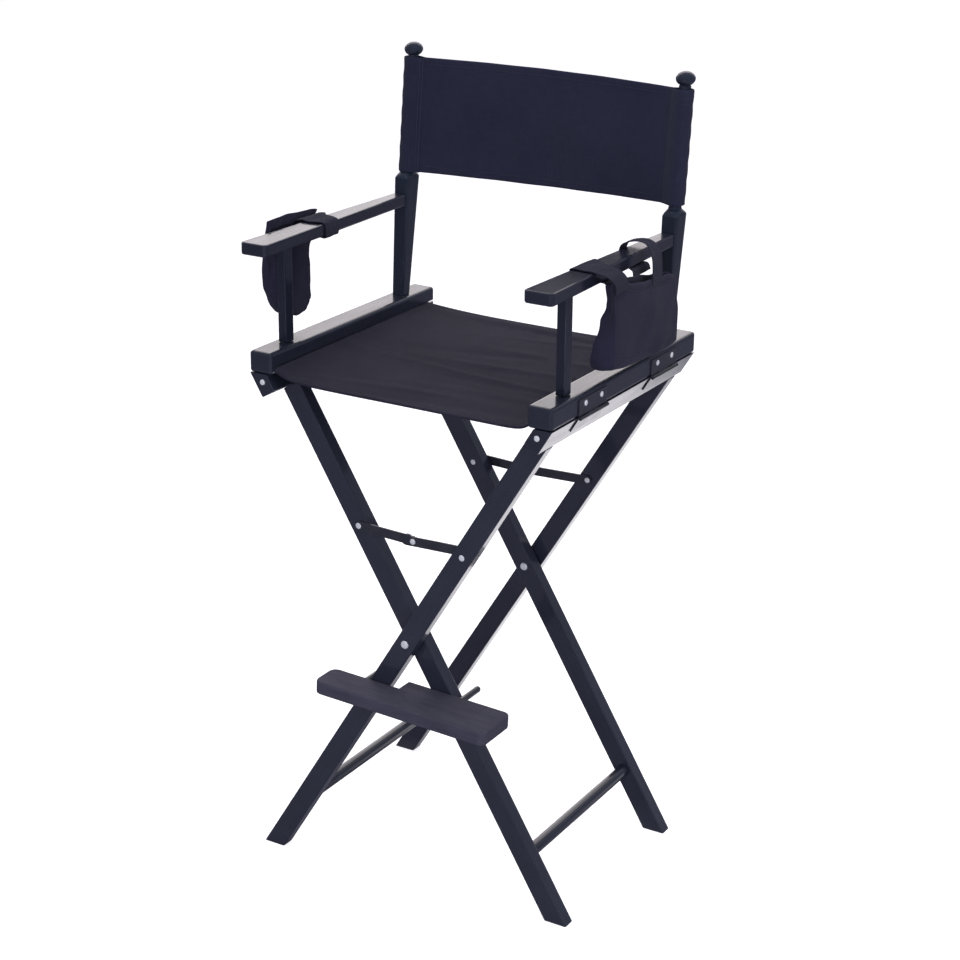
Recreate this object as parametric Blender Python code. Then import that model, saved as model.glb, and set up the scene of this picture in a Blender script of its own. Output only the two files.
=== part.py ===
"""Tall folding director chair: a wooden scissor frame, canvas seat and back, arm pouches, a footrest.

The chair faces -Y, +Z is up and its feet stand on z = 0. Lengths are in metres. Names ending in _right
are on the +X side. The outer frame (the front and rear legs that lean to the right at the top) is the
fixed one. The inner frame turns on the two pivots where the legs cross.
"""
from math import asin, atan2, cos, hypot, pi, radians, sin, tan

import bmesh
import bpy
from mathutils import Vector

GAP = 0.0003

# Scissor frame
CROSS_Z = 0.388
LEG_WIDTH = 0.030
LEG_THICK = 0.021
LEG_LAYER_GAP = 0.005
OUTER_LEG_FACE_Y = 0.191
INNER_LEG_FACE_Y = OUTER_LEG_FACE_Y - LEG_THICK - LEG_LAYER_GAP
STRETCHER_Z = 0.090
STRETCHER_RADIUS = 0.0093
TENON_WIDTH = 0.012
TENON_LENGTH = 0.016
TENON_ROOT = 0.004
STRETCHER_HOLE_DEPTH = 0.010

# Rails: a lower pair on the legs, an upper pair hinged on top of them
RAIL_FRONT_Y = -0.214
RAIL_REAR_Y = 0.208
RAIL_INNER_X = 0.2035
RAIL_OUTER_X = 0.2410
RAIL_BOTTOM_Z = 0.7550
RAIL_TOP_Z = 0.7860
LOWER_RAIL_THICK = 0.024
LOWER_RAIL_HEIGHT = 0.040
SIDE_X = (RAIL_INNER_X + RAIL_OUTER_X) / 2

# Hinges between the rails
PIN_X = RAIL_OUTER_X + 0.0030
PIN_Z = RAIL_BOTTOM_Z - 0.0010
BARREL_RADIUS = 0.0026
PIN_RADIUS = 0.0012
LEAF_THICK = 0.0015
LEAF_HALF_LENGTH = 0.0385
LEAF_HEIGHT = 0.0250
HINGE_CENTRES_Y = {"front": -0.105, "rear": 0.105}
LEAF_SCREW_OFFSET_Y = 0.022
LEAF_SCREW_HEIGHT = 0.0180
KNUCKLE_HALF = 0.0140

# Geometry of the lean that puts the legs' outer faces flush with the lower rails' outer faces
RAIL_CORNER_Z = RAIL_BOTTOM_Z - GAP
FACE_TO_PIN = PIN_X - RAIL_OUTER_X
LOWER_RAIL_OUTER_X = RAIL_OUTER_X - 0.0001
CORNER_RADIUS_VECTOR = (LOWER_RAIL_OUTER_X, RAIL_CORNER_Z - CROSS_Z)
LEAN = atan2(*CORNER_RADIUS_VECTOR) - asin(LEG_WIDTH / 2 / hypot(*CORNER_RADIUS_VECTOR))
LEG_TOP = (CORNER_RADIUS_VECTOR[0] * sin(LEAN) + CORNER_RADIUS_VECTOR[1] * cos(LEAN)
           - LOWER_RAIL_HEIGHT - GAP)

# Spreader braces
BRACE_HEIGHT = 0.152
BRACE_THICK = 0.0020
BRACE_HALF_WIDTH = 0.0070
BRACE_TAIL = 0.0120
BRACE_SAG = radians(2.0)

# Arms, posts and back
ARM_FRONT_Y = -0.225
ARM_REAR_Y = 0.1405
ARM_BOTTOM_Z = 0.9247
ARM_TOP_Z = 0.9422
ARM_FRONT_WIDTH = 0.0435
ARM_REAR_WIDTH = 0.021
FRONT_POST_Y = (-0.161, -0.143)
FRONT_POST_WIDTH = 0.014
BACK_POST_FOOT_Y = 0.143
BACK_POST_FOOT_SIZE = (0.0200, 0.0200)
BACK_POST_HEAD_SIZE = (0.0245, 0.0355)
SHOULDER_Z = 0.9735
SHOULDER_HEIGHT = 0.0085
SPINDLE_RADIUS = 0.0090
BACK_LEAN = 0.100
FINIAL_Z = 1.1525
FINIAL_RADIUS = 0.0140
FINIAL_HALF_HEIGHT = 0.0105

# Canvas
CANVAS_THICK = 0.0025
SEAT_FRONT_Y = -0.206
SEAT_REAR_Y = 0.192
GROOVE_Z = 0.7645
GROOVE_RADIUS = 0.0045
GROOVE_DEPTH = 0.0080
SEAT_SAG = 0.012
BACK_BOTTOM_Z = 0.979
BACK_TOP_Z = 1.139
BACK_BOW = 0.010
SLEEVE_OUTER = 0.0135

# Pouches
POUCH_OUTER_X = 0.2620
POUCH_MOUTH_X = 0.2434
POUCH_TOP_Z = 0.9290
POUCH_WALL = 0.0020
STRAP_THICK = 0.0018
POUCHES = {
    1: {"y_span": (-0.082, 0.102), "bottom_z": 0.7945, "foot_x": 0.2260,
        "strap_spans": ((-0.112, -0.060), (0.012, 0.034))},
    -1: {"y_span": (-0.162, -0.024), "bottom_z": 0.8090, "foot_x": 0.2310,
         "strap_spans": ((-0.085, -0.030),)},
}

# Footrest
FOOTREST_X = (-0.122, 0.160)
FOOTREST_FRONT_Y = -0.242
FOOTREST_THICK = 0.020
FOOTREST_MID_Z = 0.308
FOOTREST_ROLL = radians(2.0)
FOOTREST_STEP_X = -0.010
PEG_RADIUS = 0.0048
PEG_REAR_Y = -0.110
PEG_START_INSET = 0.022
BOARD_CORNER = 0.010

# Fasteners
PIVOT_RADIUS = 0.0030
RIVET_RADIUS = 0.0020
SCREW_RADIUS = 0.0018
SCREW_LENGTH = 0.018
SCREW_HEAD = 0.0024
SCREW_SPOT = (0.2190, 0.7430)

# The whole chair is moved so that its bounding box is centred on the origin
DEPTH_SHIFT = -(FOOTREST_FRONT_Y + RAIL_REAR_Y + SCREW_HEAD) / 2

SIDE_NAME = {-1: "left", 1: "right"}
SPOTS = {}
CUTTERS = []


def clear_scene():
    for old in list(bpy.data.objects):
        bpy.data.objects.remove(old, do_unlink=True)


def make_material(name, colour, roughness, metallic=0.0):
    material = bpy.data.materials.new(name)
    material.use_nodes = True
    shader = material.node_tree.nodes["Principled BSDF"]
    shader.inputs["Base Color"].default_value = (*colour, 1.0)
    shader.inputs["Roughness"].default_value = roughness
    shader.inputs["Metallic"].default_value = metallic
    return material


def make_empty(name, location, parent=None):
    empty = bpy.data.objects.new(name, None)
    bpy.context.collection.objects.link(empty)
    empty.location = location
    if parent is not None:
        empty.parent = parent
        empty.location = Vector(location) - SPOTS[parent.name]
    SPOTS[name] = Vector(location)
    return empty


# --- Shapes -----------------------------------------------------------------------------------

def loft(rings):
    """Closed solid through rings of equal point count, with a face at each end."""
    mesh = bmesh.new()
    loops = [[mesh.verts.new(point) for point in ring] for ring in rings]
    count = len(loops[0])
    for lower, upper in zip(loops, loops[1:]):
        for i in range(count):
            j = (i + 1) % count
            mesh.faces.new((lower[i], lower[j], upper[j], upper[i]))
    mesh.faces.new(list(reversed(loops[0])))
    mesh.faces.new(loops[-1])
    bmesh.ops.recalc_face_normals(mesh, faces=mesh.faces)
    return mesh


def prism(outline, y0, y1):
    """Outline of (x, z) points carried along Y."""
    return loft([[(x, y, z) for x, z in outline] for y in (y0, y1)])


def plate(outline, x0, x1):
    """Outline of (y, z) points carried along X."""
    return loft([[(x, y, z) for y, z in outline] for x in (x0, x1)])


def slab(outline, z0, z1):
    """Outline of (x, y) points carried along Z."""
    return loft([[(x, y, z) for x, y in outline] for z in (z0, z1)])


def box(x, y, z):
    return prism([(x[0], z[0]), (x[1], z[0]), (x[1], z[1]), (x[0], z[1])], *y)


def turned(profile, centre=(0.0, 0.0), sides=16):
    """Round solid about a line along Y: profile is (radius, y) from end to end."""
    rings = []
    for radius, y in profile:
        angles = [2 * pi * i / sides for i in range(sides)]
        rings.append([(centre[0] + radius * cos(a), y, centre[1] + radius * sin(a)) for a in angles])
    return loft(rings)


def rod(radius, y0, y1, centre=(0.0, 0.0), sides=16):
    return turned([(radius, y0), (radius, y1)], centre, sides)


def turned_x(profile, sides=12):
    """Round solid about a line along X: profile is (radius, x) from end to end."""
    rings = []
    for radius, x in profile:
        angles = [2 * pi * i / sides for i in range(sides)]
        rings.append([(x, radius * cos(a), radius * sin(a)) for a in angles])
    return loft(rings)


def mirrored_x(mesh):
    bmesh.ops.scale(mesh, vec=(-1, 1, 1), verts=mesh.verts)
    bmesh.ops.reverse_faces(mesh, faces=mesh.faces)
    return mesh


def on_side(mesh, side):
    return mirrored_x(mesh) if side < 0 else mesh


# --- Objects ----------------------------------------------------------------------------------

def add_part(name, mesh, material, parent, origin=(0, 0, 0), turn_y=0.0, bevel=0.0, segments=2):
    """Object with its mesh about its own origin, which stands at origin in the chair's frame."""
    data = bpy.data.meshes.new(name)
    mesh.to_mesh(data)
    mesh.free()
    data.shade_smooth()
    data.set_sharp_from_angle(angle=radians(35))
    part = bpy.data.objects.new(name, data)
    bpy.context.collection.objects.link(part)
    data.materials.append(material)
    part.parent = parent
    part.location = Vector(origin) - SPOTS[parent.name]
    part.rotation_euler = (0, turn_y, 0)
    if bevel:
        round_edges(part, bevel, segments)
    return part


def round_edges(part, width, segments=2):
    modifier = part.modifiers.new("round_edges", "BEVEL")
    modifier.width = width
    modifier.segments = segments
    modifier.limit_method = "ANGLE"
    modifier.angle_limit = radians(35)


def combine(part, mesh, operation):
    """Cut from, or join to, a part with a shape given in the part's own coordinates."""
    name = f"cutter_{len(CUTTERS)}"
    data = bpy.data.meshes.new(name)
    mesh.to_mesh(data)
    mesh.free()
    cutter = bpy.data.objects.new(name, data)
    bpy.context.collection.objects.link(cutter)
    cutter.parent = part
    cutter.hide_render = True
    cutter.display_type = "WIRE"
    CUTTERS.append(cutter)
    modifier = part.modifiers.new(operation.lower(), "BOOLEAN")
    modifier.object = cutter
    modifier.operation = operation
    modifier.solver = "EXACT"


def cut(part, mesh):
    combine(part, mesh, "DIFFERENCE")


def join(part, mesh):
    combine(part, mesh, "UNION")


# --- Scissor frame ----------------------------------------------------------------------------

def leg_outline(side):
    """Leg in its own frame, z along its length from the crossing; side is +1 for the outer legs."""
    half = LEG_WIDTH / 2
    foot = [(x, (-CROSS_Z + side * x * sin(LEAN)) / cos(LEAN)) for x in (-half, half)]
    return [foot[0], foot[1], (half, LEG_TOP), (-half, LEG_TOP)]


def tenon(side):
    """Tongue on the leg's top that enters the lower rail."""
    middle = side * (LEG_WIDTH - LOWER_RAIL_THICK) / 2
    x = (middle - TENON_WIDTH / 2, middle + TENON_WIDTH / 2)
    return box(x, (-LEG_THICK / 2, LEG_THICK / 2), (LEG_TOP - TENON_ROOT, LEG_TOP + TENON_LENGTH))


def brace_spot():
    """Brace rivet on a leg's centre line, as a distance along the leg from the crossing."""
    return BRACE_HEIGHT / cos(LEAN)


def add_leg(name, side, end, face_y, parent):
    """end is -1 for the front pair of legs and +1 for the rear pair."""
    y_mid = end * (face_y - LEG_THICK / 2)
    half = LEG_THICK / 2
    leg = add_part(name, prism(leg_outline(side), -half, half), WOOD, parent,
                   (0, y_mid, CROSS_Z), side * LEAN, bevel=0.0016)
    join(leg, tenon(side))
    cut(leg, rod(PIVOT_RADIUS + GAP, -LEG_THICK, LEG_THICK))
    cut(leg, rod(RIVET_RADIUS + GAP, -LEG_THICK, LEG_THICK, (0, brace_spot()), 12))
    inward = -end * half
    start = inward + end * STRETCHER_HOLE_DEPTH
    spot = (0, -(CROSS_Z - STRETCHER_Z) / cos(LEAN))
    cut(leg, rod(STRETCHER_RADIUS + GAP, *sorted((start, inward - end * 0.005)), spot))
    return leg


def add_stretcher(name, side, face_y, parent):
    """Round bar between the two legs of one frame, near the feet on the side away from its rail."""
    reach = face_y - LEG_THICK + STRETCHER_HOLE_DEPTH - 0.0005
    x = -side * (CROSS_Z - STRETCHER_Z) * tan(LEAN)
    add_part(name, rod(STRETCHER_RADIUS, -reach, reach), WOOD, parent, (x, 0, STRETCHER_Z))


def lower_rail_outline():
    """Section of the right lower rail about the hinge pin, square to the leg except for its flat top."""
    along = Vector((-sin(LEAN), -cos(LEAN)))
    across = Vector((-cos(LEAN), sin(LEAN)))
    top_z = RAIL_CORNER_Z - PIN_Z
    corner = Vector((LOWER_RAIL_OUTER_X - PIN_X, top_z))
    outer_bottom = corner + along * LOWER_RAIL_HEIGHT
    inner_bottom = outer_bottom + across * LOWER_RAIL_THICK
    inner_top = Vector((corner.x - LOWER_RAIL_THICK / cos(LEAN), top_z))
    return [tuple(p) for p in (corner, inner_top, inner_bottom, outer_bottom)]


def add_lower_rail(name, side, face_y, parent):
    mesh = on_side(prism(lower_rail_outline(), RAIL_FRONT_Y, RAIL_REAR_Y), side)
    rail = add_part(name, mesh, WOOD, parent, (side * PIN_X, 0, PIN_Z), bevel=0.0012)
    tenon_mid = (LEG_WIDTH - LOWER_RAIL_THICK) / 2
    low = LEG_TOP - TENON_ROOT
    high = LEG_TOP + TENON_LENGTH + GAP
    corners = []
    for across, along in ((-1, low), (1, low), (1, high), (-1, high)):
        offset = tenon_mid + across * (TENON_WIDTH / 2 + GAP)
        x = offset * cos(LEAN) + along * sin(LEAN)
        z = CROSS_Z - offset * sin(LEAN) + along * cos(LEAN)
        corners.append((x - PIN_X, z - PIN_Z))
    for end in (-1, 1):
        y_mid = end * (face_y - LEG_THICK / 2)
        reach = LEG_THICK / 2 + GAP
        cut(rail, on_side(prism(corners, y_mid - reach, y_mid + reach), side))
    for label, y_end, end in (("front", RAIL_FRONT_Y, -1), ("rear", RAIL_REAR_Y, 1)):
        spot = (side * (SCREW_SPOT[0] - PIN_X), SCREW_SPOT[1] - PIN_Z)
        y_in = y_end - end * (SCREW_LENGTH + GAP)
        cut(rail, rod(SCREW_RADIUS + GAP, *sorted((y_in, y_end + end * 0.004)), spot, 12))
        add_end_screw(f"rail_screw_{SIDE_NAME[side]}_{label}", side, y_end, end, parent)
    return rail


def add_end_screw(name, side, y_end, end, parent):
    """Screw through a lower rail's end that locks the tenon of the leg."""
    profile = [(SCREW_RADIUS, -SCREW_LENGTH), (SCREW_RADIUS, GAP), (0.0042, GAP), (0.0042, 0.0010),
               (0.0034, 0.0019), (0.0018, SCREW_HEAD)]
    mesh = turned([(r, end * y) for r, y in profile])
    spot = (side * SCREW_SPOT[0], y_end, SCREW_SPOT[1])
    add_part(name, mesh, BRIGHT_STEEL, parent, spot)


def add_pivot(label, end, parent):
    """Rivet at the crossing, with a washer that keeps the two legs apart."""
    face = OUTER_LEG_FACE_Y
    back = INNER_LEG_FACE_Y - LEG_THICK
    profile = [(0.0030, face + 0.0024), (0.0052, face + 0.0018), (0.0062, face + GAP),
               (PIVOT_RADIUS, face + GAP), (PIVOT_RADIUS, back - GAP), (0.0062, back - GAP),
               (0.0052, back - 0.0018), (0.0030, back - 0.0024)]
    mesh = turned([(r, end * y) for r, y in profile])
    add_part(f"pivot_rivet_{label}", mesh, BRIGHT_STEEL, parent, (0, 0, CROSS_Z))
    y0 = end * (INNER_LEG_FACE_Y + GAP)
    y1 = end * (INNER_LEG_FACE_Y + LEG_LAYER_GAP - GAP)
    washer = add_part(f"pivot_washer_{label}", rod(0.0085, *sorted((y0, y1)), sides=20), DARK_STEEL,
                      parent, (0, 0, CROSS_Z))
    cut(washer, rod(PIVOT_RADIUS + GAP, *sorted((y0 - end * 0.001, y1 + end * 0.001))))


# --- Spreader braces --------------------------------------------------------------------------

def link_outline(length, tail):
    """Flat bar with round ends from its leg pivot at x = 0 to past its middle pivot at x = length."""
    half = BRACE_HALF_WIDTH
    steps = 6
    points = []
    for i in range(steps + 1):
        angle = pi / 2 + pi * i / steps
        points.append((half * cos(angle), half * sin(angle)))
    for i in range(steps + 1):
        angle = -pi / 2 + pi * i / steps
        points.append((length + tail + half * cos(angle), half * sin(angle)))
    return points


def add_brace(label, end, outer_parent, inner_parent):
    """Two links between a pair of legs. The link on the outer leg carries the middle rivet."""
    spot_x = BRACE_HEIGHT * tan(LEAN)
    spot_z = CROSS_Z + BRACE_HEIGHT
    length = spot_x / cos(BRACE_SAG)
    outer_face = OUTER_LEG_FACE_Y - LEG_THICK
    outer_layer = (outer_face - GAP - BRACE_THICK, outer_face - GAP)
    inner_layer = (outer_layer[0] - GAP - BRACE_THICK, outer_layer[0] - GAP)
    for side, layer, parent, tail in ((1, outer_layer, outer_parent, BRACE_TAIL),
                                      (-1, inner_layer, inner_parent, 0.0)):
        owner = "outer" if side > 0 else "inner"
        y_pair = sorted(end * y for y in layer)
        mesh = prism(link_outline(length, tail), *y_pair)
        if side > 0:
            mesh = mirrored_x(mesh)
        turn = -side * BRACE_SAG
        link = add_part(f"brace_{label}_{owner}", mesh, BLACK_STEEL, parent,
                        (side * spot_x, 0, spot_z), turn)
        reach = sorted(end * y for y in (layer[0] - 0.001, layer[1] + 0.001))
        cut(link, rod(RIVET_RADIUS + GAP, *reach, sides=12))
        cut(link, rod(RIVET_RADIUS + GAP, *reach, (-side * length, 0), 12))
        if side > 0:
            add_stop_tab(link, end, length, inner_layer, outer_layer)
    leg_rivet(f"brace_rivet_{label}_outer", end, (spot_x, 0, spot_z), OUTER_LEG_FACE_Y,
              outer_layer[0], outer_parent)
    leg_rivet(f"brace_rivet_{label}_inner", end, (-spot_x, 0, spot_z), inner_layer[1],
              INNER_LEG_FACE_Y - LEG_THICK, inner_parent)
    middle = turned([(r, end * y) for r, y in ((0.0020, outer_layer[1] + 0.0021),
                                               (0.0038, outer_layer[1] + 0.0015),
                                               (0.0045, outer_layer[1] + GAP),
                                               (RIVET_RADIUS, outer_layer[1] + GAP),
                                               (RIVET_RADIUS, outer_layer[0] + 0.0001))])
    drop = length * sin(BRACE_SAG)
    add_part(f"brace_rivet_{label}_middle", middle, BRIGHT_STEEL, outer_parent,
             (0, 0, spot_z - drop))


def add_stop_tab(link, end, length, inner_layer, outer_layer):
    """Tab on the tail, bent across the other link, which stops the middle pivot just past straight."""
    low = BRACE_HALF_WIDTH * 0.9
    tip = BRACE_HALF_WIDTH + 0.0026
    y_near = end * outer_layer[1]
    y_far = end * (inner_layer[0] + 0.0004)
    x_span = (-length - BRACE_TAIL, -length - BRACE_TAIL + 0.007)
    bend = tip - 0.0014
    join(link, box(x_span, sorted((y_near, end * outer_layer[0])), (low, tip)))
    join(link, box((x_span[0] + 0.0004, x_span[1] - 0.0004), sorted((y_near - end * 0.0006, y_far)),
                   (bend, tip - 0.0002)))


def leg_rivet(name, end, spot, front, back, parent):
    profile = [(0.0022, front + 0.0013), (0.0038, front + 0.0009), (0.0045, front + GAP),
               (RIVET_RADIUS, front + GAP), (RIVET_RADIUS, back - GAP), (0.0042, back - GAP),
               (0.0036, back - 0.0009), (0.0020, back - 0.0012)]
    add_part(name, turned([(r, end * y) for r, y in profile]), BRIGHT_STEEL, parent, spot)


# --- Hinges -----------------------------------------------------------------------------------

def leaf_outline(middle_knuckle):
    """Leaf about its pin: (y, z) with a tongue, or two, that reaches the barrel."""
    far = LEAF_HEIGHT
    near = BARREL_RADIUS + 0.0007
    half = LEAF_HALF_LENGTH
    third = KNUCKLE_HALF
    if middle_knuckle:
        return [(-half, near), (-third, near), (-third, 0), (third, 0), (third, near),
                (half, near), (half, far), (-half, far)]
    inner = third + GAP
    return [(-half, 0), (-inner, 0), (-inner, near), (inner, near), (inner, 0), (half, 0),
            (half, far), (-half, far)]


def add_upper_leaf(name, side, y_mid, parent):
    mesh = on_side(plate(leaf_outline(True), -FACE_TO_PIN + GAP, -FACE_TO_PIN + GAP + LEAF_THICK), side)
    leaf = add_part(name, mesh, BLACK_STEEL, parent, (side * PIN_X, y_mid, PIN_Z))
    join(leaf, rod(BARREL_RADIUS, -KNUCKLE_HALF, KNUCKLE_HALF, sides=12))
    join(leaf, rod(PIN_RADIUS, -LEAF_HALF_LENGTH, LEAF_HALF_LENGTH, sides=12))
    for i, offset in enumerate((-LEAF_SCREW_OFFSET_Y, LEAF_SCREW_OFFSET_Y)):
        hole = turned_x([(SCREW_RADIUS + GAP, -0.004), (SCREW_RADIUS + GAP, 0.001)])
        bmesh.ops.translate(hole, vec=(0, offset, LEAF_SCREW_HEIGHT), verts=hole.verts)
        cut(leaf, on_side(hole, side))
        spot = (side * PIN_X, y_mid + offset, PIN_Z + LEAF_SCREW_HEIGHT)
        place = ("front", "rear")[i]
        add_leaf_screw(name.replace("leaf_upper", "screw") + f"_{place}", side, spot, parent)
    return leaf


def add_leaf_screw(name, side, spot, parent):
    face = -FACE_TO_PIN + GAP + LEAF_THICK + 0.0002
    profile = [(SCREW_RADIUS, face - 0.012), (SCREW_RADIUS, face), (0.0040, face), (0.0040, face + 0.0006),
               (0.0030, face + 0.0014), (0.0016, face + 0.0018)]
    add_part(name, on_side(turned_x(profile), side), BRIGHT_STEEL, parent, spot)


def add_lower_leaf(name, side, y_mid, parent):
    outline = [(y, -z) for y, z in leaf_outline(False)]
    mesh = on_side(plate(outline, -FACE_TO_PIN + GAP, -FACE_TO_PIN + GAP + LEAF_THICK), side)
    leaf = add_part(name, mesh, BLACK_STEEL, parent, (side * PIN_X, y_mid, PIN_Z), side * LEAN)
    for end in (-1, 1):
        y_pair = sorted((end * (KNUCKLE_HALF + GAP), end * LEAF_HALF_LENGTH))
        join(leaf, rod(BARREL_RADIUS, *y_pair, sides=12))
    cut(leaf, rod(PIN_RADIUS + GAP, -0.05, 0.05, sides=12))


# --- Seat sides -------------------------------------------------------------------------------

def add_upper_rail(side, parent):
    x0, x1 = RAIL_INNER_X - PIN_X, RAIL_OUTER_X - PIN_X
    z0, z1 = RAIL_BOTTOM_Z - PIN_Z, RAIL_TOP_Z - PIN_Z
    mesh = on_side(box((x0, x1), (RAIL_FRONT_Y, RAIL_REAR_Y), (z0, z1)), side)
    rail = add_part(f"rail_upper_{SIDE_NAME[side]}", mesh, WOOD, parent, (side * PIN_X, 0, PIN_Z),
                    bevel=0.0045, segments=3)
    centre = (side * (x0 + GROOVE_DEPTH), GROOVE_Z - PIN_Z)
    y_pair = (SEAT_FRONT_Y + 0.004, RAIL_REAR_Y + 0.01)
    cut(rail, rod(GROOVE_RADIUS, *y_pair, centre))
    slit = box((x0 - 0.002, x0 + GROOVE_DEPTH), y_pair, (centre[1] - 0.0014, centre[1] + 0.0014))
    cut(rail, on_side(slit, side))
    for y_mid in HINGE_CENTRES_Y.values():
        for offset in (-LEAF_SCREW_OFFSET_Y, LEAF_SCREW_OFFSET_Y):
            hole = turned_x([(SCREW_RADIUS + GAP, -0.0145), (SCREW_RADIUS + GAP, 0.002)])
            bmesh.ops.translate(hole, vec=(0, y_mid + offset, LEAF_SCREW_HEIGHT), verts=hole.verts)
            cut(rail, on_side(hole, side))
    x_dowel = side * (RAIL_INNER_X + GROOVE_DEPTH)
    add_part(f"seat_dowel_{SIDE_NAME[side]}", rod(0.0030, SEAT_FRONT_Y + 0.006, SEAT_REAR_Y, sides=12),
             DOWEL_WOOD, parent, (x_dowel, 0, GROOVE_Z))


def back_axis_y(z):
    return BACK_POST_FOOT_Y + BACK_LEAN * (z - RAIL_TOP_Z)


def ring(x, y, z, half_x, half_y, roundness, sides=20):
    """Ring of a post: roundness 1 is an ellipse, and lower values are squarer."""
    points = []
    for i in range(sides):
        angle = 2 * pi * (i + 0.5) / sides
        c, s = cos(angle), sin(angle)
        across = half_x * abs(c) ** roundness * (1 if c > 0 else -1)
        along = half_y * abs(s) ** roundness * (1 if s > 0 else -1)
        points.append((x + across, y + along, z))
    return points


def back_post_rings(x):
    """Lower part that widens upwards, shoulder, spindle inside the sleeve and a flattened ball on top."""
    foot_x, foot_y = (size / 2 for size in BACK_POST_FOOT_SIZE)
    head_x, head_y = (size / 2 for size in BACK_POST_HEAD_SIZE)
    foot = RAIL_TOP_Z + GAP
    square = 0.30
    rings = [ring(x, BACK_POST_FOOT_Y, foot, foot_x, foot_y, square)]
    low, high = SHOULDER_Z - SHOULDER_HEIGHT, SHOULDER_Z
    rings.append(ring(x, back_axis_y(low), low, head_x, head_y, square))
    for t in (0.4, 0.8, 1.0):
        z = low + (high - low) * t
        drop = t * t
        half_x = head_x - (head_x - SPINDLE_RADIUS - 0.0006) * drop
        half_y = head_y - (head_y - SPINDLE_RADIUS - 0.0006) * drop
        rings.append(ring(x, back_axis_y(z), z, half_x, half_y, square + (1 - square) * t))
    neck = FINIAL_Z - FINIAL_HALF_HEIGHT * 0.92
    rings.append(ring(x, back_axis_y(high + 0.003), high + 0.003, SPINDLE_RADIUS, SPINDLE_RADIUS, 1.0))
    rings.append(ring(x, back_axis_y(neck), neck, 0.0086, 0.0086, 1.0))
    for step in range(-4, 5):
        angle = radians(19) * step
        z = FINIAL_Z + FINIAL_HALF_HEIGHT * sin(angle)
        radius = FINIAL_RADIUS * cos(angle)
        if step > -4:
            rings.append(ring(x, back_axis_y(z), z, radius, radius, 1.0))
    return rings


def arm_outline(x):
    """Plan of an arm: wide at the front, narrowing to the back post, with rounded front corners."""
    front, rear = ARM_FRONT_WIDTH / 2, ARM_REAR_WIDTH / 2
    corner = 0.004
    return [(x - front, ARM_FRONT_Y + corner), (x - front + corner, ARM_FRONT_Y),
            (x + front - corner, ARM_FRONT_Y), (x + front, ARM_FRONT_Y + corner),
            (x + rear, ARM_REAR_Y), (x - rear, ARM_REAR_Y)]


def arm_half_width(y):
    share = (y - ARM_FRONT_Y) / (ARM_REAR_Y - ARM_FRONT_Y)
    return (ARM_FRONT_WIDTH + (ARM_REAR_WIDTH - ARM_FRONT_WIDTH) * share) / 2


def add_side(side, parent):
    name = SIDE_NAME[side]
    add_upper_rail(side, parent)
    x = SIDE_X - PIN_X
    half = FRONT_POST_WIDTH / 2
    foot, head = RAIL_TOP_Z + GAP - PIN_Z, ARM_BOTTOM_Z - GAP - PIN_Z
    add_part(f"front_post_{name}", on_side(box((x - half, x + half), FRONT_POST_Y, (foot, head)), side),
             WOOD, parent, (side * PIN_X, 0, PIN_Z), bevel=0.0015)
    add_part(f"arm_{name}", on_side(slab(arm_outline(x), ARM_BOTTOM_Z - PIN_Z, ARM_TOP_Z - PIN_Z), side),
             WOOD, parent, (side * PIN_X, 0, PIN_Z), bevel=0.0022)
    post = loft(back_post_rings(SIDE_X - PIN_X))
    bmesh.ops.translate(post, vec=(0, 0, -PIN_Z), verts=post.verts)
    add_part(f"back_post_{name}", on_side(post, side), WOOD, parent, (side * PIN_X, 0, PIN_Z))
    for label, y_mid in HINGE_CENTRES_Y.items():
        add_upper_leaf(f"hinge_leaf_upper_{name}_{label}", side, y_mid, parent)


# --- Canvas and pouches -----------------------------------------------------------------------

def add_seat(parent):
    """Canvas sheet slung between the grooves of the two upper rails."""
    steps = 16
    half = RAIL_INNER_X - 0.0006
    xs = [half * (2 * i / steps - 1) for i in range(steps + 1)]
    upper = [(x, GROOVE_Z + CANVAS_THICK / 2 - SEAT_SAG * (1 - (x / half) ** 2)) for x in xs]
    lower = [(x, z - CANVAS_THICK) for x, z in reversed(upper)]
    mesh = prism(lower + upper, SEAT_FRONT_Y, SEAT_REAR_Y)
    bmesh.ops.translate(mesh, vec=(-PIN_X, 0, -PIN_Z), verts=mesh.verts)
    add_part("seat_canvas", mesh, CANVAS, parent, (PIN_X, 0, PIN_Z))


def back_sheet_outline():
    """Plan of the back canvas about the spindles' line: a flat sleeve round each spindle and the panel."""
    inner = SLEEVE_OUTER - CANVAS_THICK / 2
    half = CANVAS_THICK / 2
    steps = 12
    arc = 8
    panel_end = SIDE_X - SLEEVE_OUTER - 0.004
    front = []
    for i in range(steps + 1):
        x = -panel_end + 2 * panel_end * i / steps
        front.append((x, BACK_BOW * (1 - (x / panel_end) ** 2) - half))
    right = []
    for i in range(arc + 1):
        angle = -pi * 0.72 + pi * 1.44 * i / arc
        right.append((SIDE_X + (inner + half) * cos(angle), (inner + half) * sin(angle)))
    rear = [(x, y + CANVAS_THICK) for x, y in reversed(front)]
    left = [(-x, -y) for x, y in right]
    return front + right + rear + left


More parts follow.
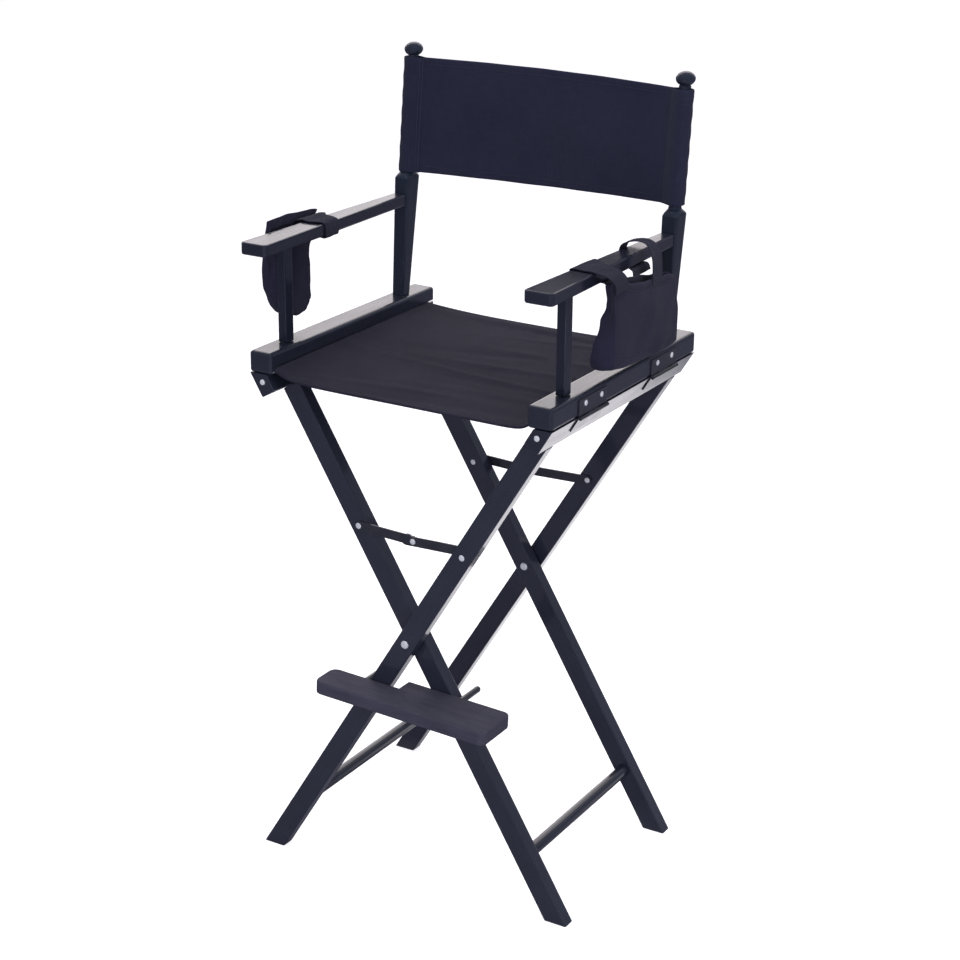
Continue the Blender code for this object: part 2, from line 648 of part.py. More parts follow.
def add_back(parent):
    outline = back_sheet_outline()
    rings = []
    for z in (BACK_BOTTOM_Z, BACK_TOP_Z):
        rings.append([(x, y + back_axis_y(z), z) for x, y in outline])
    mesh = loft(rings)
    bmesh.ops.translate(mesh, vec=(-PIN_X, 0, -PIN_Z), verts=mesh.verts)
    back = add_part("back_canvas", mesh, CANVAS, parent, (PIN_X, 0, PIN_Z))
    for side in (-1, 1):
        rings = []
        for z in (BACK_BOTTOM_Z - 0.01, BACK_TOP_Z + 0.01):
            radius = SLEEVE_OUTER - CANVAS_THICK + 0.0004
            rings.append(ring(side * SIDE_X - PIN_X, back_axis_y(z), z - PIN_Z, radius, radius, 1.0, 16))
        cut(back, loft(rings))


def pouch_section(shrink, top_z, bottom_z, foot_x):
    """Section of a pouch: (x, z) of its outer wall, and of its inner wall, which leans in lower down."""
    return [(POUCH_OUTER_X - shrink, bottom_z + shrink), (POUCH_OUTER_X - shrink, top_z),
            (POUCH_MOUTH_X + shrink, top_z), (foot_x + shrink, bottom_z + shrink)]


def add_pouch(side, y_span, bottom_z, foot_x, strap_spans, parent):
    """Open bag hung outside an arm by loops of webbing that go round the arm."""
    wall = POUCH_WALL
    section = [(x - PIN_X, z - PIN_Z) for x, z in pouch_section(0.0, POUCH_TOP_Z, bottom_z, foot_x)]
    hollow = [(x - PIN_X, z - PIN_Z) for x, z in pouch_section(wall, POUCH_TOP_Z + 0.01, bottom_z, foot_x)]
    pouch = add_part(f"pouch_{SIDE_NAME[side]}", on_side(prism(section, *y_span), side), CANVAS, parent,
                     (side * PIN_X, 0, PIN_Z))
    cut(pouch, on_side(prism(hollow, y_span[0] + wall, y_span[1] - wall), side))
    for y0, y1 in strap_spans:
        half = max(arm_half_width(y0), arm_half_width(y1)) + 0.0006
        x = (SIDE_X - half - STRAP_THICK - PIN_X, POUCH_MOUTH_X + wall - PIN_X)
        z = (ARM_BOTTOM_Z - 0.0006 - STRAP_THICK - PIN_Z, ARM_TOP_Z + 0.0006 + STRAP_THICK - PIN_Z)
        join(pouch, on_side(box(x, (y0, y1), z), side))
        inside_x = (x[0] + STRAP_THICK, x[1] - STRAP_THICK)
        inside_z = (z[0] + STRAP_THICK, z[1] - STRAP_THICK)
        cut(pouch, on_side(box(inside_x, (y0 - 0.002, y1 + 0.002), inside_z), side))


# --- Footrest ---------------------------------------------------------------------------------

def peg_spot(side):
    """Centre of a footrest peg, which rests against the outer side of a leg below the crossing."""
    reach = (LEG_WIDTH / 2 + PEG_RADIUS + GAP) / cos(LEAN)
    middle = sum(FOOTREST_X) / 2
    x = side * 0.072
    for _ in range(20):
        z = FOOTREST_MID_Z - (x - middle) * tan(FOOTREST_ROLL)
        x = side * ((CROSS_Z - z) * tan(LEAN) + reach)
    return x, z


def board_outline(middle):
    """Plan of the board: its rear edge steps back beside the outer leg to meet the inner leg."""
    shallow = -OUTER_LEG_FACE_Y - GAP
    deep = -INNER_LEG_FACE_Y - GAP
    left, right = FOOTREST_X[0] - middle, FOOTREST_X[1] - middle
    step = FOOTREST_STEP_X - middle
    front = FOOTREST_FRONT_Y
    corner = BOARD_CORNER
    cut_back = corner * 0.3
    return [(left, front + corner), (left + cut_back, front + cut_back), (left + corner, front),
            (right - corner, front), (right - cut_back, front + cut_back), (right, front + corner),
            (right, deep - corner), (right - cut_back, deep - cut_back), (right - corner, deep),
            (step, deep), (step, shallow), (left + corner, shallow),
            (left + cut_back, shallow - cut_back), (left, shallow - corner)]


def add_footrest(parent):
    middle = sum(FOOTREST_X) / 2
    half = FOOTREST_THICK / 2
    board = add_part("footrest_board", slab(board_outline(middle), -half, half), WOOD, parent,
                     (middle, 0, FOOTREST_MID_Z), FOOTREST_ROLL, bevel=0.0022)
    for side in (-1, 1):
        x, z = peg_spot(side)
        start = FOOTREST_FRONT_Y + PEG_START_INSET
        profile = [(PEG_RADIUS, start), (PEG_RADIUS, PEG_REAR_Y - 0.003),
                   (PEG_RADIUS * 0.8, PEG_REAR_Y - 0.001), (PEG_RADIUS * 0.4, PEG_REAR_Y)]
        add_part(f"footrest_peg_{SIDE_NAME[side]}", turned(profile), BLACK_STEEL, parent, (x, 0, z))
        offset = (x - middle) / cos(FOOTREST_ROLL)
        cut(board, rod(PEG_RADIUS + GAP, start - GAP, PEG_REAR_Y, (offset, 0)))


clear_scene()
WOOD = make_material("black_wood", (0.030, 0.030, 0.045), 0.35)
DOWEL_WOOD = make_material("plain_wood", (0.55, 0.42, 0.28), 0.6)
CANVAS = make_material("navy_canvas", (0.018, 0.018, 0.030), 0.9)
BRIGHT_STEEL = make_material("bright_steel", (0.75, 0.75, 0.76), 0.25, 1.0)
DARK_STEEL = make_material("dark_steel", (0.25, 0.25, 0.27), 0.4, 1.0)
BLACK_STEEL = make_material("black_steel", (0.03, 0.03, 0.035), 0.4, 0.6)

chair = make_empty("chair", (0, 0, 0))
inner_frame = make_empty("inner_frame_pivot", (0, 0, CROSS_Z), chair)
seat_side = {side: make_empty(f"seat_side_{SIDE_NAME[side]}", (side * PIN_X, 0, PIN_Z), chair)
             for side in (-1, 1)}
chair.location = (0, DEPTH_SHIFT, 0)

for label, end in (("front", -1), ("rear", 1)):
    add_leg(f"leg_{label}_outer", 1, end, OUTER_LEG_FACE_Y, chair)
    add_leg(f"leg_{label}_inner", -1, end, INNER_LEG_FACE_Y, inner_frame)
    add_pivot(label, end, chair)
    add_brace(label, end, chair, inner_frame)
add_stretcher("stretcher_left", 1, OUTER_LEG_FACE_Y, chair)
add_stretcher("stretcher_right", -1, INNER_LEG_FACE_Y, inner_frame)
add_lower_rail("rail_lower_right", 1, OUTER_LEG_FACE_Y, chair)
add_lower_rail("rail_lower_left", -1, INNER_LEG_FACE_Y, inner_frame)
for side, lower_parent in ((-1, inner_frame), (1, chair)):
    add_side(side, seat_side[side])
    for label, y_mid in HINGE_CENTRES_Y.items():
        add_lower_leaf(f"hinge_leaf_lower_{SIDE_NAME[side]}_{label}", side, y_mid, lower_parent)
add_seat(seat_side[1])
add_back(seat_side[1])
for side, sizes in POUCHES.items():
    add_pouch(side, parent=seat_side[side], **sizes)
add_footrest(chair)
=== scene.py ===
"""Looks of the tall folding director chair: painted wood, canvas seat and back, arm pouches, bright screws.

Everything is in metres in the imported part's frame. The chair faces -Y and stands on z = 0.
"""
from math import cos, pi, radians, sin
from random import Random

import bmesh
import bpy
from mathutils import Matrix, Vector


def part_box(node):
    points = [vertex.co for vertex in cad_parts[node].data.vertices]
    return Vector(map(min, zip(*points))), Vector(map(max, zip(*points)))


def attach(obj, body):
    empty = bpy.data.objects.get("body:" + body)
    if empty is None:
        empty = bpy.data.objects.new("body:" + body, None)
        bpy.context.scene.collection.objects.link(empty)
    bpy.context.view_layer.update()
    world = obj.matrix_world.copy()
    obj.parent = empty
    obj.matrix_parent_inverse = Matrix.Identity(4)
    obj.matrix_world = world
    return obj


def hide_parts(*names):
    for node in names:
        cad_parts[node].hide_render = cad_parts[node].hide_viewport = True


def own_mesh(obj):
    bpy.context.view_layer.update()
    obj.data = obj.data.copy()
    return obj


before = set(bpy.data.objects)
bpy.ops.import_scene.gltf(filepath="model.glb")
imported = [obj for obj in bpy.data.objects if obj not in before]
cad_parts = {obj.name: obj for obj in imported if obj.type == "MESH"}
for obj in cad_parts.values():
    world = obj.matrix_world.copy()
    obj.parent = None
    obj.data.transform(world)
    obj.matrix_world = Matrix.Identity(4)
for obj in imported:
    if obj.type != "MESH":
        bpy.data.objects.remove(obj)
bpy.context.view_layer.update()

# --- Places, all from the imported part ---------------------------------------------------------

FRONT_LEG_FACE = 0.191
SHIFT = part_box("leg_front_outer")[0].y + FRONT_LEG_FACE      # from the chair's own y to the frame's y

RAIL_LOW, RAIL_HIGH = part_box("rail_upper_right")
ARM_LOW, ARM_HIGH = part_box("arm_right")
SIDE_X = (RAIL_LOW.x + RAIL_HIGH.x) / 2
SEAT_LOW, SEAT_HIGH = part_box("seat_canvas")
DOWEL_LOW, DOWEL_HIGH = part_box("seat_dowel_right")
GROOVE_Z = (DOWEL_LOW.z + DOWEL_HIGH.z) / 2
BACK_LOW, BACK_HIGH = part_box("back_canvas")
POUCH_LOW, POUCH_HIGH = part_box("pouch_right")


def points_of(node):
    return [v.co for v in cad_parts[node].data.vertices]


def slice_centre(node, low, high):
    """Mean (x, y, z) of a node's points between two heights."""
    chosen = [p for p in points_of(node) if low <= p.z <= high]
    return sum(chosen, Vector()) / len(chosen)


SPINDLE_LOW = slice_centre("back_post_right", BACK_LOW.z - 0.0035, BACK_LOW.z - 0.0015)
SPINDLE_HIGH = slice_centre("back_post_right", BACK_HIGH.z + 0.002, BACK_HIGH.z + 0.006)
ARM_REAR_HALF = max(p.x for p in points_of("arm_right") if p.y > ARM_HIGH.y - 0.001) - SIDE_X
ARM_FRONT_HALF = ARM_HIGH.x - SIDE_X


def spindle_y(z):
    """Middle of the back posts' spindles at a height."""
    share = (z - SPINDLE_LOW.z) / (SPINDLE_HIGH.z - SPINDLE_LOW.z)
    return SPINDLE_LOW.y + (SPINDLE_HIGH.y - SPINDLE_LOW.y) * share


def arm_half(y):
    """Half the width of an arm at the frame's y."""
    share = (y - ARM_LOW.y) / (ARM_HIGH.y - ARM_LOW.y)
    return ARM_FRONT_HALF + (ARM_REAR_HALF - ARM_FRONT_HALF) * share


# --- Small helpers ----------------------------------------------------------------------------

BELL_BASE = 2.718


def mix(a, b, t):
    return a + (b - a) * t


def smooth(t):
    t = min(1.0, max(0.0, t))
    return t * t * (3 - 2 * t)


def bell(t):
    """Smooth bump: 1 at t = 0, nearly 0 beyond 2 on both sides."""
    return BELL_BASE ** (-t * t)


def curve_at(keys, t):
    """Smooth value at t of a list of (position, value) keys in rising order."""
    if t <= keys[0][0]:
        return keys[0][1]
    for (t0, v0), (t1, v1) in zip(keys, keys[1:]):
        if t <= t1:
            return mix(v0, v1, smooth((t - t0) / (t1 - t0)))
    return keys[-1][1]


def through(points, steps):
    """Points along a smooth line through the given ones (Catmull-Rom), steps to each stretch."""
    ends = [points[0] * 2 - points[1], *points, points[-1] * 2 - points[-2]]
    line = []
    for a, b, c, d in zip(ends, ends[1:], ends[2:], ends[3:]):
        for i in range(steps):
            t = i / steps
            line.append(0.5 * (2 * b + (c - a) * t + (2 * a - 5 * b + 4 * c - d) * t * t
                               + (3 * b - a - 3 * c + d) * t ** 3))
    line.append(points[-1].copy())
    return line


def object_from(name, points, faces, material, uv=None, sharp=40):
    """New smooth piece; uv gives one map point for each point, in metres."""
    mesh = bpy.data.meshes.new(name)
    mesh.from_pydata([tuple(p) for p in points], [], faces)
    if uv is not None:
        layer = mesh.uv_layers.new(name="cloth")
        for loop in mesh.loops:
            layer.data[loop.index].uv = uv[loop.vertex_index]
    mesh.materials.append(material)
    mesh.validate()
    mesh.shade_smooth()
    mesh.set_sharp_from_angle(angle=radians(sharp))
    piece = bpy.data.objects.new(name, mesh)
    bpy.context.scene.collection.objects.link(piece)
    return piece


def piece_of(mesh, name, material=None):
    """Object made from a bmesh, which is used up."""
    data = bpy.data.meshes.new(name)
    mesh.to_mesh(data)
    mesh.free()
    if material is not None:
        data.materials.append(material)
    piece = bpy.data.objects.new(name, data)
    bpy.context.scene.collection.objects.link(piece)
    return piece


def settle(piece, sharp=40):
    """Apply the modifiers, so that the mesh is final."""
    bpy.context.view_layer.update()
    graph = bpy.context.evaluated_depsgraph_get()
    mesh = bpy.data.meshes.new_from_object(piece.evaluated_get(graph), depsgraph=graph)
    piece.modifiers.clear()
    piece.data = mesh
    mesh.shade_smooth()
    mesh.set_sharp_from_angle(angle=radians(sharp))
    return piece


def cloth_grid(name, rows, thickness, material, closed=False):
    """Cloth of the given thickness on a grid of points; closed joins each row's last point to its first."""
    count = len(rows[0])
    points = [p for row in rows for p in row]
    faces = []
    span = count if closed else count - 1
    for i in range(len(rows) - 1):
        for j in range(span):
            k = (j + 1) % count
            faces.append((i * count + j, i * count + k, (i + 1) * count + k, (i + 1) * count + j))
    middle = len(rows) // 2
    across = [0.0]
    for a, b in zip(rows[middle], rows[middle][1:]):
        across.append(across[-1] + (b - a).length)
    along = [0.0]
    for upper, lower in zip(rows, rows[1:]):
        along.append(along[-1] + (lower[count // 2] - upper[count // 2]).length)
    uv = [(across[j], along[i]) for i in range(len(rows)) for j in range(count)]
    piece = object_from(name, points, faces, material, uv)
    solidify = piece.modifiers.new("thickness", "SOLIDIFY")
    solidify.thickness = thickness
    solidify.offset = 0.0
    return settle(piece)


def stitch_row(line, normals, pitch=0.0036, share=0.72, radius=0.00032):
    """Points and faces of a row of thread stitches along a line; normals point out of the cloth."""
    points, faces = [], []
    lengths = [0.0]
    for a, b in zip(line, line[1:]):
        lengths.append(lengths[-1] + (b - a).length)

    def at(distance):
        for i in range(len(line) - 1):
            if distance <= lengths[i + 1] or i == len(line) - 2:
                t = (distance - lengths[i]) / max(lengths[i + 1] - lengths[i], 1e-9)
                return line[i].lerp(line[i + 1], t), normals[i].lerp(normals[i + 1], t).normalized()

    count = int(lengths[-1] / pitch)
    sides = 6
    for n in range(count):
        start, up = at((n + 0.5 - share / 2) * pitch)
        stop, up_stop = at((n + 0.5 + share / 2) * pitch)
        along = stop - start
        across = along.normalized().cross(up).normalized()
        base = len(points)
        for t, swell, lift in ((0.0, 0.35, -0.5), (0.2, 0.95, 0.25), (0.8, 0.95, 0.25), (1.0, 0.35, -0.5)):
            centre = start + along * t + up.lerp(up_stop, t) * radius * lift
            for k in range(sides):
                angle = 2 * pi * k / sides
                points.append(centre + (across * cos(angle) + up * sin(angle)) * radius * swell)
        for ring in range(3):
            for k in range(sides):
                m = (k + 1) % sides
                a, b = base + ring * sides, base + (ring + 1) * sides
                faces.append((a + k, a + m, b + m, b + k))
        faces.append(tuple(base + k for k in reversed(range(sides))))
        faces.append(tuple(base + 3 * sides + k for k in range(sides)))
    return points, faces


def stitches(name, rows):
    """One piece that holds several rows of stitches: rows is a list of (line, normals)."""
    points, faces = [], []
    for line, normals in rows:
        more_points, more_faces = stitch_row(line, normals)
        faces += [tuple(i + len(points) for i in face) for face in more_faces]
        points += more_points
    return object_from(name, points, faces, THREAD, sharp=80)


# --- Node materials ---------------------------------------------------------------------------

class Paint:
    """Builds one node material."""

    def __init__(self, name):
        self.material = bpy.data.materials.new(name)
        self.material.use_nodes = True
        self.nodes = self.material.node_tree.nodes
        self.links = self.material.node_tree.links
        self.shader = self.nodes["Principled BSDF"]

    def put(self, socket, value):
        if isinstance(value, bpy.types.NodeSocket):
            self.links.new(value, socket)
        else:
            socket.default_value = value

    def node(self, kind, inputs=None, output=0, **settings):
        made = self.nodes.new("ShaderNode" + kind)
        for key, value in settings.items():
            setattr(made, key, value)
        for key, value in (inputs or {}).items():
            self.put(made.inputs[key], value)
        return made.outputs[output]

    def math(self, operation, a, b=0.0, clamp=False):
        return self.node("Math", {0: a, 1: b}, operation=operation, use_clamp=clamp)

    def noise(self, vector, scale, detail=3.0, roughness=0.55, distortion=0.0):
        return self.node("TexNoise", {"Vector": vector, "Scale": scale, "Detail": detail,
                                      "Roughness": roughness, "Distortion": distortion})

    def ramp(self, factor, *stops):
        made = self.nodes.new("ShaderNodeValToRGB")
        self.links.new(factor, made.inputs[0])
        elements = made.color_ramp.elements
        while len(elements) < len(stops):
            elements.new(0.5)
        for element, (position, colour) in zip(elements, stops):
            element.position = position
            element.color = (*colour, 1.0) if len(colour) == 3 else colour
        return made.outputs[0]

    def span(self, factor, low, high, to_low, to_high):
        return self.node("MapRange", {0: factor, 1: low, 2: high, 3: to_low, 4: to_high})

    def blend(self, factor, a, b, mode="MIX"):
        made = self.nodes.new("ShaderNodeMix")
        made.data_type = "RGBA"
        made.blend_type = mode
        self.put(made.inputs[0], factor)
        self.put(made.inputs[6], a)
        self.put(made.inputs[7], b)
        return made.outputs[2]

    def place(self):
        return self.node("TexCoord", output=3)

    def along(self, direction):
        """Coordinates whose x runs along the given direction."""
        x = Vector(direction).normalized()
        helper = Vector((0, 1, 0)) if abs(x.y) < 0.9 else Vector((0, 0, 1))
        z = x.cross(helper).normalized()
        y = z.cross(x)
        place = self.place()
        parts = [self.node("VectorMath", {0: place, 1: tuple(axis)}, output=1, operation="DOT_PRODUCT")
                 for axis in (x, y, z)]
        return self.node("CombineXYZ", {0: parts[0], 1: parts[1], 2: parts[2]})

    def stretched(self, vector, amounts):
        return self.node("VectorMath", {0: vector, 1: amounts}, operation="MULTIPLY")

    def bump(self, *layers, rounded=0.0):
        """Chain of bumps, each (height, distance, strength), over edges that look rounded by a radius."""
        normal = self.node("Bevel", {"Radius": rounded}, samples=4) if rounded else None
        for height, distance, strength in layers:
            inputs = {"Height": height, "Distance": distance, "Strength": strength}
            if normal is not None:
                inputs["Normal"] = normal
            normal = self.node("Bump", inputs)
        self.put(self.shader.inputs["Normal"], normal)

    def worn(self, radius, low, high):
        """1 on outside edges, 0 on flat faces, broken up by noise."""
        rounded = self.node("Bevel", {"Radius": radius}, samples=4)
        flat = self.node("NewGeometry", output=1)
        dot = self.node("VectorMath", {0: rounded, 1: flat}, output=1, operation="DOT_PRODUCT")
        edge = self.math("SUBTRACT", 1.0, dot)
        broken = self.noise(self.place(), 90.0, 4.0, 0.65)
        return self.math("MULTIPLY", self.span(edge, low, high, 0.0, 1.0),
                         self.span(broken, 0.42, 0.62, 0.15, 1.0), clamp=True)

    def finish(self, colour, roughness, **constants):
        """Connect colour and roughness, set the shader's other named inputs and give the material."""
        self.put(self.shader.inputs["Base Color"], colour)
        self.put(self.shader.inputs["Roughness"], roughness)
        for key, value in constants.items():
            name = key.replace("_", " ").title().replace("Ior", "IOR")
            self.shader.inputs[name].default_value = value
        return self.material


NAVY_DEEP, NAVY_PALE = (0.0148, 0.0165, 0.0282), (0.0220, 0.0242, 0.0390)


def painted_wood(name, direction, deep=NAVY_DEEP, pale=NAVY_PALE, roughness=(0.24, 0.36), coat=0.75):
    """Satin navy-black paint over wood whose grain runs along a direction."""
    paint = Paint(name)
    grain_space = paint.along(direction)
    grain = paint.noise(paint.stretched(grain_space, (22.0, 620.0, 620.0)), 1.0, 5.0, 0.6, 0.4)
    pores = paint.noise(paint.stretched(grain_space, (60.0, 1500.0, 1500.0)), 1.0, 2.0, 0.5)
    peel = paint.noise(grain_space, 420.0, 2.0, 0.5)
    cloud = paint.noise(grain_space, 11.0, 4.0, 0.55)
    smear = paint.noise(paint.stretched(grain_space, (9.0, 60.0, 60.0)), 1.0, 3.0, 0.6)
    body = paint.ramp(cloud, (0.30, deep), (0.70, pale))
    streaks = paint.blend(paint.span(grain, 0.35, 0.70, 0.0, 0.40), body, (0.0080, 0.0095, 0.0170, 1.0))
    colour = paint.blend(paint.worn(0.0016, 0.03, 0.30), streaks, (0.060, 0.064, 0.084, 1.0))
    gloss = paint.math("ADD", paint.span(smear, 0.30, 0.70, *roughness),
                       paint.span(pores, 0.45, 0.75, 0.0, 0.10))
    paint.bump((grain, 0.00022, 0.35), (pores, 0.00010, 0.30), (peel, 0.00012, 0.18), rounded=0.0014)
    return paint.finish(colour, gloss, coat_weight=coat, coat_roughness=0.07, ior=1.45)


def canvas(name, dark, light, pitch=0.0009):
    """Heavy plain-weave cotton; the weave follows the cloth's own map, in metres."""
    paint = Paint(name)
    uv = paint.node("UVMap", uv_map="cloth")
    place = paint.place()
    drift = paint.node("TexNoise", {"Vector": place, "Scale": 38.0, "Detail": 2.0}, output=1)
    wander = paint.node("VectorMath", {0: drift, 1: (0.0009, 0.0009, 0.0009)}, operation="MULTIPLY")
    moved = paint.node("VectorMath", {0: uv, 1: wander}, operation="ADD")
    split = paint.nodes.new("ShaderNodeSeparateXYZ")
    paint.links.new(moved, split.inputs[0])
    wave = [paint.math("SINE", paint.math("MULTIPLY", split.outputs[i], pi / pitch)) for i in (0, 1)]
    over = paint.math("GREATER_THAN", paint.math("MULTIPLY", wave[0], wave[1]), 0.0)
    warp = paint.math("POWER", paint.math("ABSOLUTE", wave[0]), 0.6)
    weft = paint.math("POWER", paint.math("ABSOLUTE", wave[1]), 0.6)
    threads = paint.math("ADD", paint.math("MULTIPLY", over, warp),
                         paint.math("MULTIPLY", paint.math("SUBTRACT", 1.0, over), weft))
    slub_u = paint.noise(paint.stretched(uv, (45.0, 900.0, 1.0)), 1.0, 2.0, 0.5)
    slub_v = paint.noise(paint.stretched(uv, (900.0, 45.0, 1.0)), 1.0, 2.0, 0.5)
    slub = paint.math("MULTIPLY", paint.math("ADD", slub_u, slub_v), 0.5)
    faded = paint.noise(place, 9.0, 5.0, 0.6)
    lint = paint.noise(place, 1900.0, 2.0, 0.6)
    base = paint.blend(paint.span(faded, 0.32, 0.70, 0.0, 1.0), (*dark, 1.0), (*light, 1.0))
    yarn = paint.blend(paint.span(slub, 0.38, 0.62, 0.0, 1.0),
                       (0.86, 0.86, 0.87, 1.0), (1.14, 1.13, 1.12, 1.0))
    colour = paint.blend(1.0, base, yarn, "MULTIPLY")
    # Painted shade: the colour darkens where the threads dip, in the hollows of the weave.
    painted_weave_shade = paint.span(threads, 0.1, 0.75, 0.84, 1.0)
    colour = paint.blend(1.0, colour, paint.node("CombineColor", {0: painted_weave_shade, 1: painted_weave_shade, 2: painted_weave_shade}), "MULTIPLY")
    colour = paint.blend(paint.span(lint, 0.66, 0.80, 0.0, 0.35), colour, (0.11, 0.11, 0.13, 1.0))
    paint.bump((threads, 0.00030, 0.55), (slub, 0.00040, 0.35), (lint, 0.00015, 0.20))
    return paint.finish(colour, paint.span(slub, 0.3, 0.7, 0.88, 0.98), sheen_weight=0.05,
                        sheen_roughness=0.5, specular_ior_level=0.14)


def thread_material():
    paint = Paint("sewing_thread")
    place = paint.place()
    twist = paint.node("TexWave", {"Vector": place, "Scale": 900.0, "Distortion": 1.5}, output=1)
    shade = paint.noise(place, 60.0)
    colour = paint.blend(shade, (0.022, 0.022, 0.034, 1.0), (0.040, 0.040, 0.056, 1.0))
    paint.bump((twist, 0.00008, 0.4))
    return paint.finish(colour, paint.span(shade, 0.3, 0.7, 0.50, 0.70))


def bright_steel():
    """Bright zinc plating with fine scratches."""
    paint = Paint("bright_steel")
    place = paint.place()
    scratch = paint.noise(paint.stretched(place, (300.0, 300.0, 6000.0)), 1.0, 4.0, 0.7)
    cloud = paint.noise(place, 260.0, 3.0)
    colour = paint.ramp(cloud, (0.3, (0.78, 0.79, 0.82)), (0.7, (0.93, 0.93, 0.94)))
    paint.bump((scratch, 0.00004, 0.25), (cloud, 0.00008, 0.2))
    return paint.finish(colour, paint.span(scratch, 0.3, 0.7, 0.22, 0.40), metallic=0.45)


def dull_steel():
    paint = Paint("dull_steel")
    place = paint.place()
    grime = paint.noise(place, 420.0, 5.0, 0.65)
    colour = paint.ramp(grime, (0.35, (0.16, 0.16, 0.17)), (0.65, (0.34, 0.34, 0.35)))
    paint.bump((grime, 0.00008, 0.3))
    return paint.finish(colour, paint.span(grime, 0.3, 0.7, 0.35, 0.55), metallic=1.0)


def black_steel():
    """Black lacquered steel that shows the metal a little at its edges."""
    paint = Paint("black_steel")
    place = paint.place()
    speckle = paint.noise(place, 1300.0, 3.0, 0.6)
    cloud = paint.noise(place, 45.0, 3.0)
    body = paint.ramp(cloud, (0.3, (0.010, 0.011, 0.016)), (0.7, (0.022, 0.023, 0.031)))
    colour = paint.blend(paint.worn(0.0006, 0.05, 0.40), body, (0.16, 0.16, 0.17, 1.0))
    paint.bump((speckle, 0.00008, 0.35), (cloud, 0.0002, 0.1))
    return paint.finish(colour, paint.span(cloud, 0.3, 0.7, 0.26, 0.40),
                        coat_weight=0.6, coat_roughness=0.12)


def bare_wood():
    paint = Paint("bare_dowel")
    space = paint.along((0, 1, 0))
    grain = paint.noise(paint.stretched(space, (18.0, 700.0, 700.0)), 1.0, 5.0, 0.65, 0.5)
    colour = paint.ramp(grain, (0.3, (0.46, 0.31, 0.18)), (0.55, (0.62, 0.46, 0.29)),
                        (0.75, (0.70, 0.55, 0.37)))
    paint.bump((grain, 0.0002, 0.4))
    return paint.finish(colour, paint.span(grain, 0.3, 0.7, 0.52, 0.68))


OUTER_LEAN = slice_centre("leg_front_outer", 0.6, 1.0) - slice_centre("leg_front_outer", 0.0, 0.1)
ALONG_X, ALONG_Y, ALONG_Z = (1, 0, 0), (0, 1, 0), (0, 0, 1)
LEAN_OUTER = (OUTER_LEAN.x, 0, OUTER_LEAN.z)
LEAN_INNER = (-OUTER_LEAN.x, 0, OUTER_LEAN.z)
# The chair is painted alike all over. Apart from the legs' paint, these copies of the navy paint are darker
# on the rails, arms and posts as painted shade, and lighter on the footrest as painted light. The footrest's
# copy is also rougher and has no coat.
WOOD = {
    "outer": painted_wood("paint_on_outer_legs", LEAN_OUTER),
    "inner": painted_wood("paint_on_inner_legs", LEAN_INNER),
    "deep": painted_wood("rail_paint_with_painted_shade", ALONG_Y, (0.0100, 0.0122, 0.0215), (0.0160, 0.0187, 0.0310)),
    "arm": painted_wood("paint_on_arms", ALONG_Y, (0.0085, 0.0102, 0.0190), (0.0140, 0.0162, 0.0280)),
    "front": painted_wood("paint_on_front_posts", ALONG_Z,
                          (0.0042, 0.0068, 0.0145), (0.0085, 0.0120, 0.0222)),
    "back": painted_wood("back_post_paint_with_painted_shade", ALONG_Z, (0.0070, 0.0105, 0.0200), (0.0122, 0.0170, 0.0300)),
    "footrest": painted_wood("footrest_paint_with_painted_light", ALONG_X, (0.046, 0.044, 0.064), (0.066, 0.062, 0.090),
                             roughness=(0.70, 0.84), coat=0.0),
}
CANVAS_SEAT = canvas("seat_canvas_weave", (0.0150, 0.0138, 0.0245), (0.0215, 0.0198, 0.0330))
CANVAS_BACK = canvas("back_canvas_weave", (0.0160, 0.0172, 0.0350), (0.0200, 0.0212, 0.0400))
CANVAS_POUCH = canvas("pouch_canvas_weave", (0.0172, 0.0170, 0.0335), (0.0240, 0.0235, 0.0435))
STRAP = canvas("strap_weave", (0.0150, 0.0155, 0.0270), (0.0210, 0.0215, 0.0360), pitch=0.0014)
THREAD = thread_material()
BRIGHT = bright_steel()
DULL = dull_steel()
BLACK = black_steel()
DOWEL = bare_wood()


def paint_for(node):
    """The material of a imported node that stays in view."""
    if "rivet" in node or "screw" in node:
        return BRIGHT
    if "washer" in node:
        return DULL
    if "hinge_leaf" in node or node.startswith(("brace_", "footrest_peg")):
        return BLACK
    if "dowel" in node:
        return DOWEL
    if node.startswith("leg_"):
        return WOOD["outer" if node.endswith("outer") else "inner"]
    if "post" in node:
        return WOOD["front" if node.startswith("front") else "back"]
    if node.startswith("arm_"):
        return WOOD["arm"]
    if node == "footrest_board":
        return WOOD["footrest"]
    return WOOD["deep"]


for node_name, node_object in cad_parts.items():
    node_object.data.materials.clear()
    node_object.data.materials.append(paint_for(node_name))


# --- Screws with a cross recess ---------------------------------------------------------------

RAIL_SCREW_HEIGHT, HINGE_SCREW_HEIGHT = 0.0021, 0.0016
SCREW_SHANK, SCREW_SHANK_LENGTH = 0.0018, 0.008
SCREW_HEAD = ((0.45, 0.0), (0.75, 0.22), (0.93, 0.55), (1.0, 0.86), (1.0, 1.0))     # (radius, depth) shares
SCREW_SIDES = 24
RECESS_ENDS = ((0.0010, 0.60, 0.20), (-0.0011, 0.34, 0.12))      # (outward, half length and width as radii)
UP = Vector((0, 0, 1))


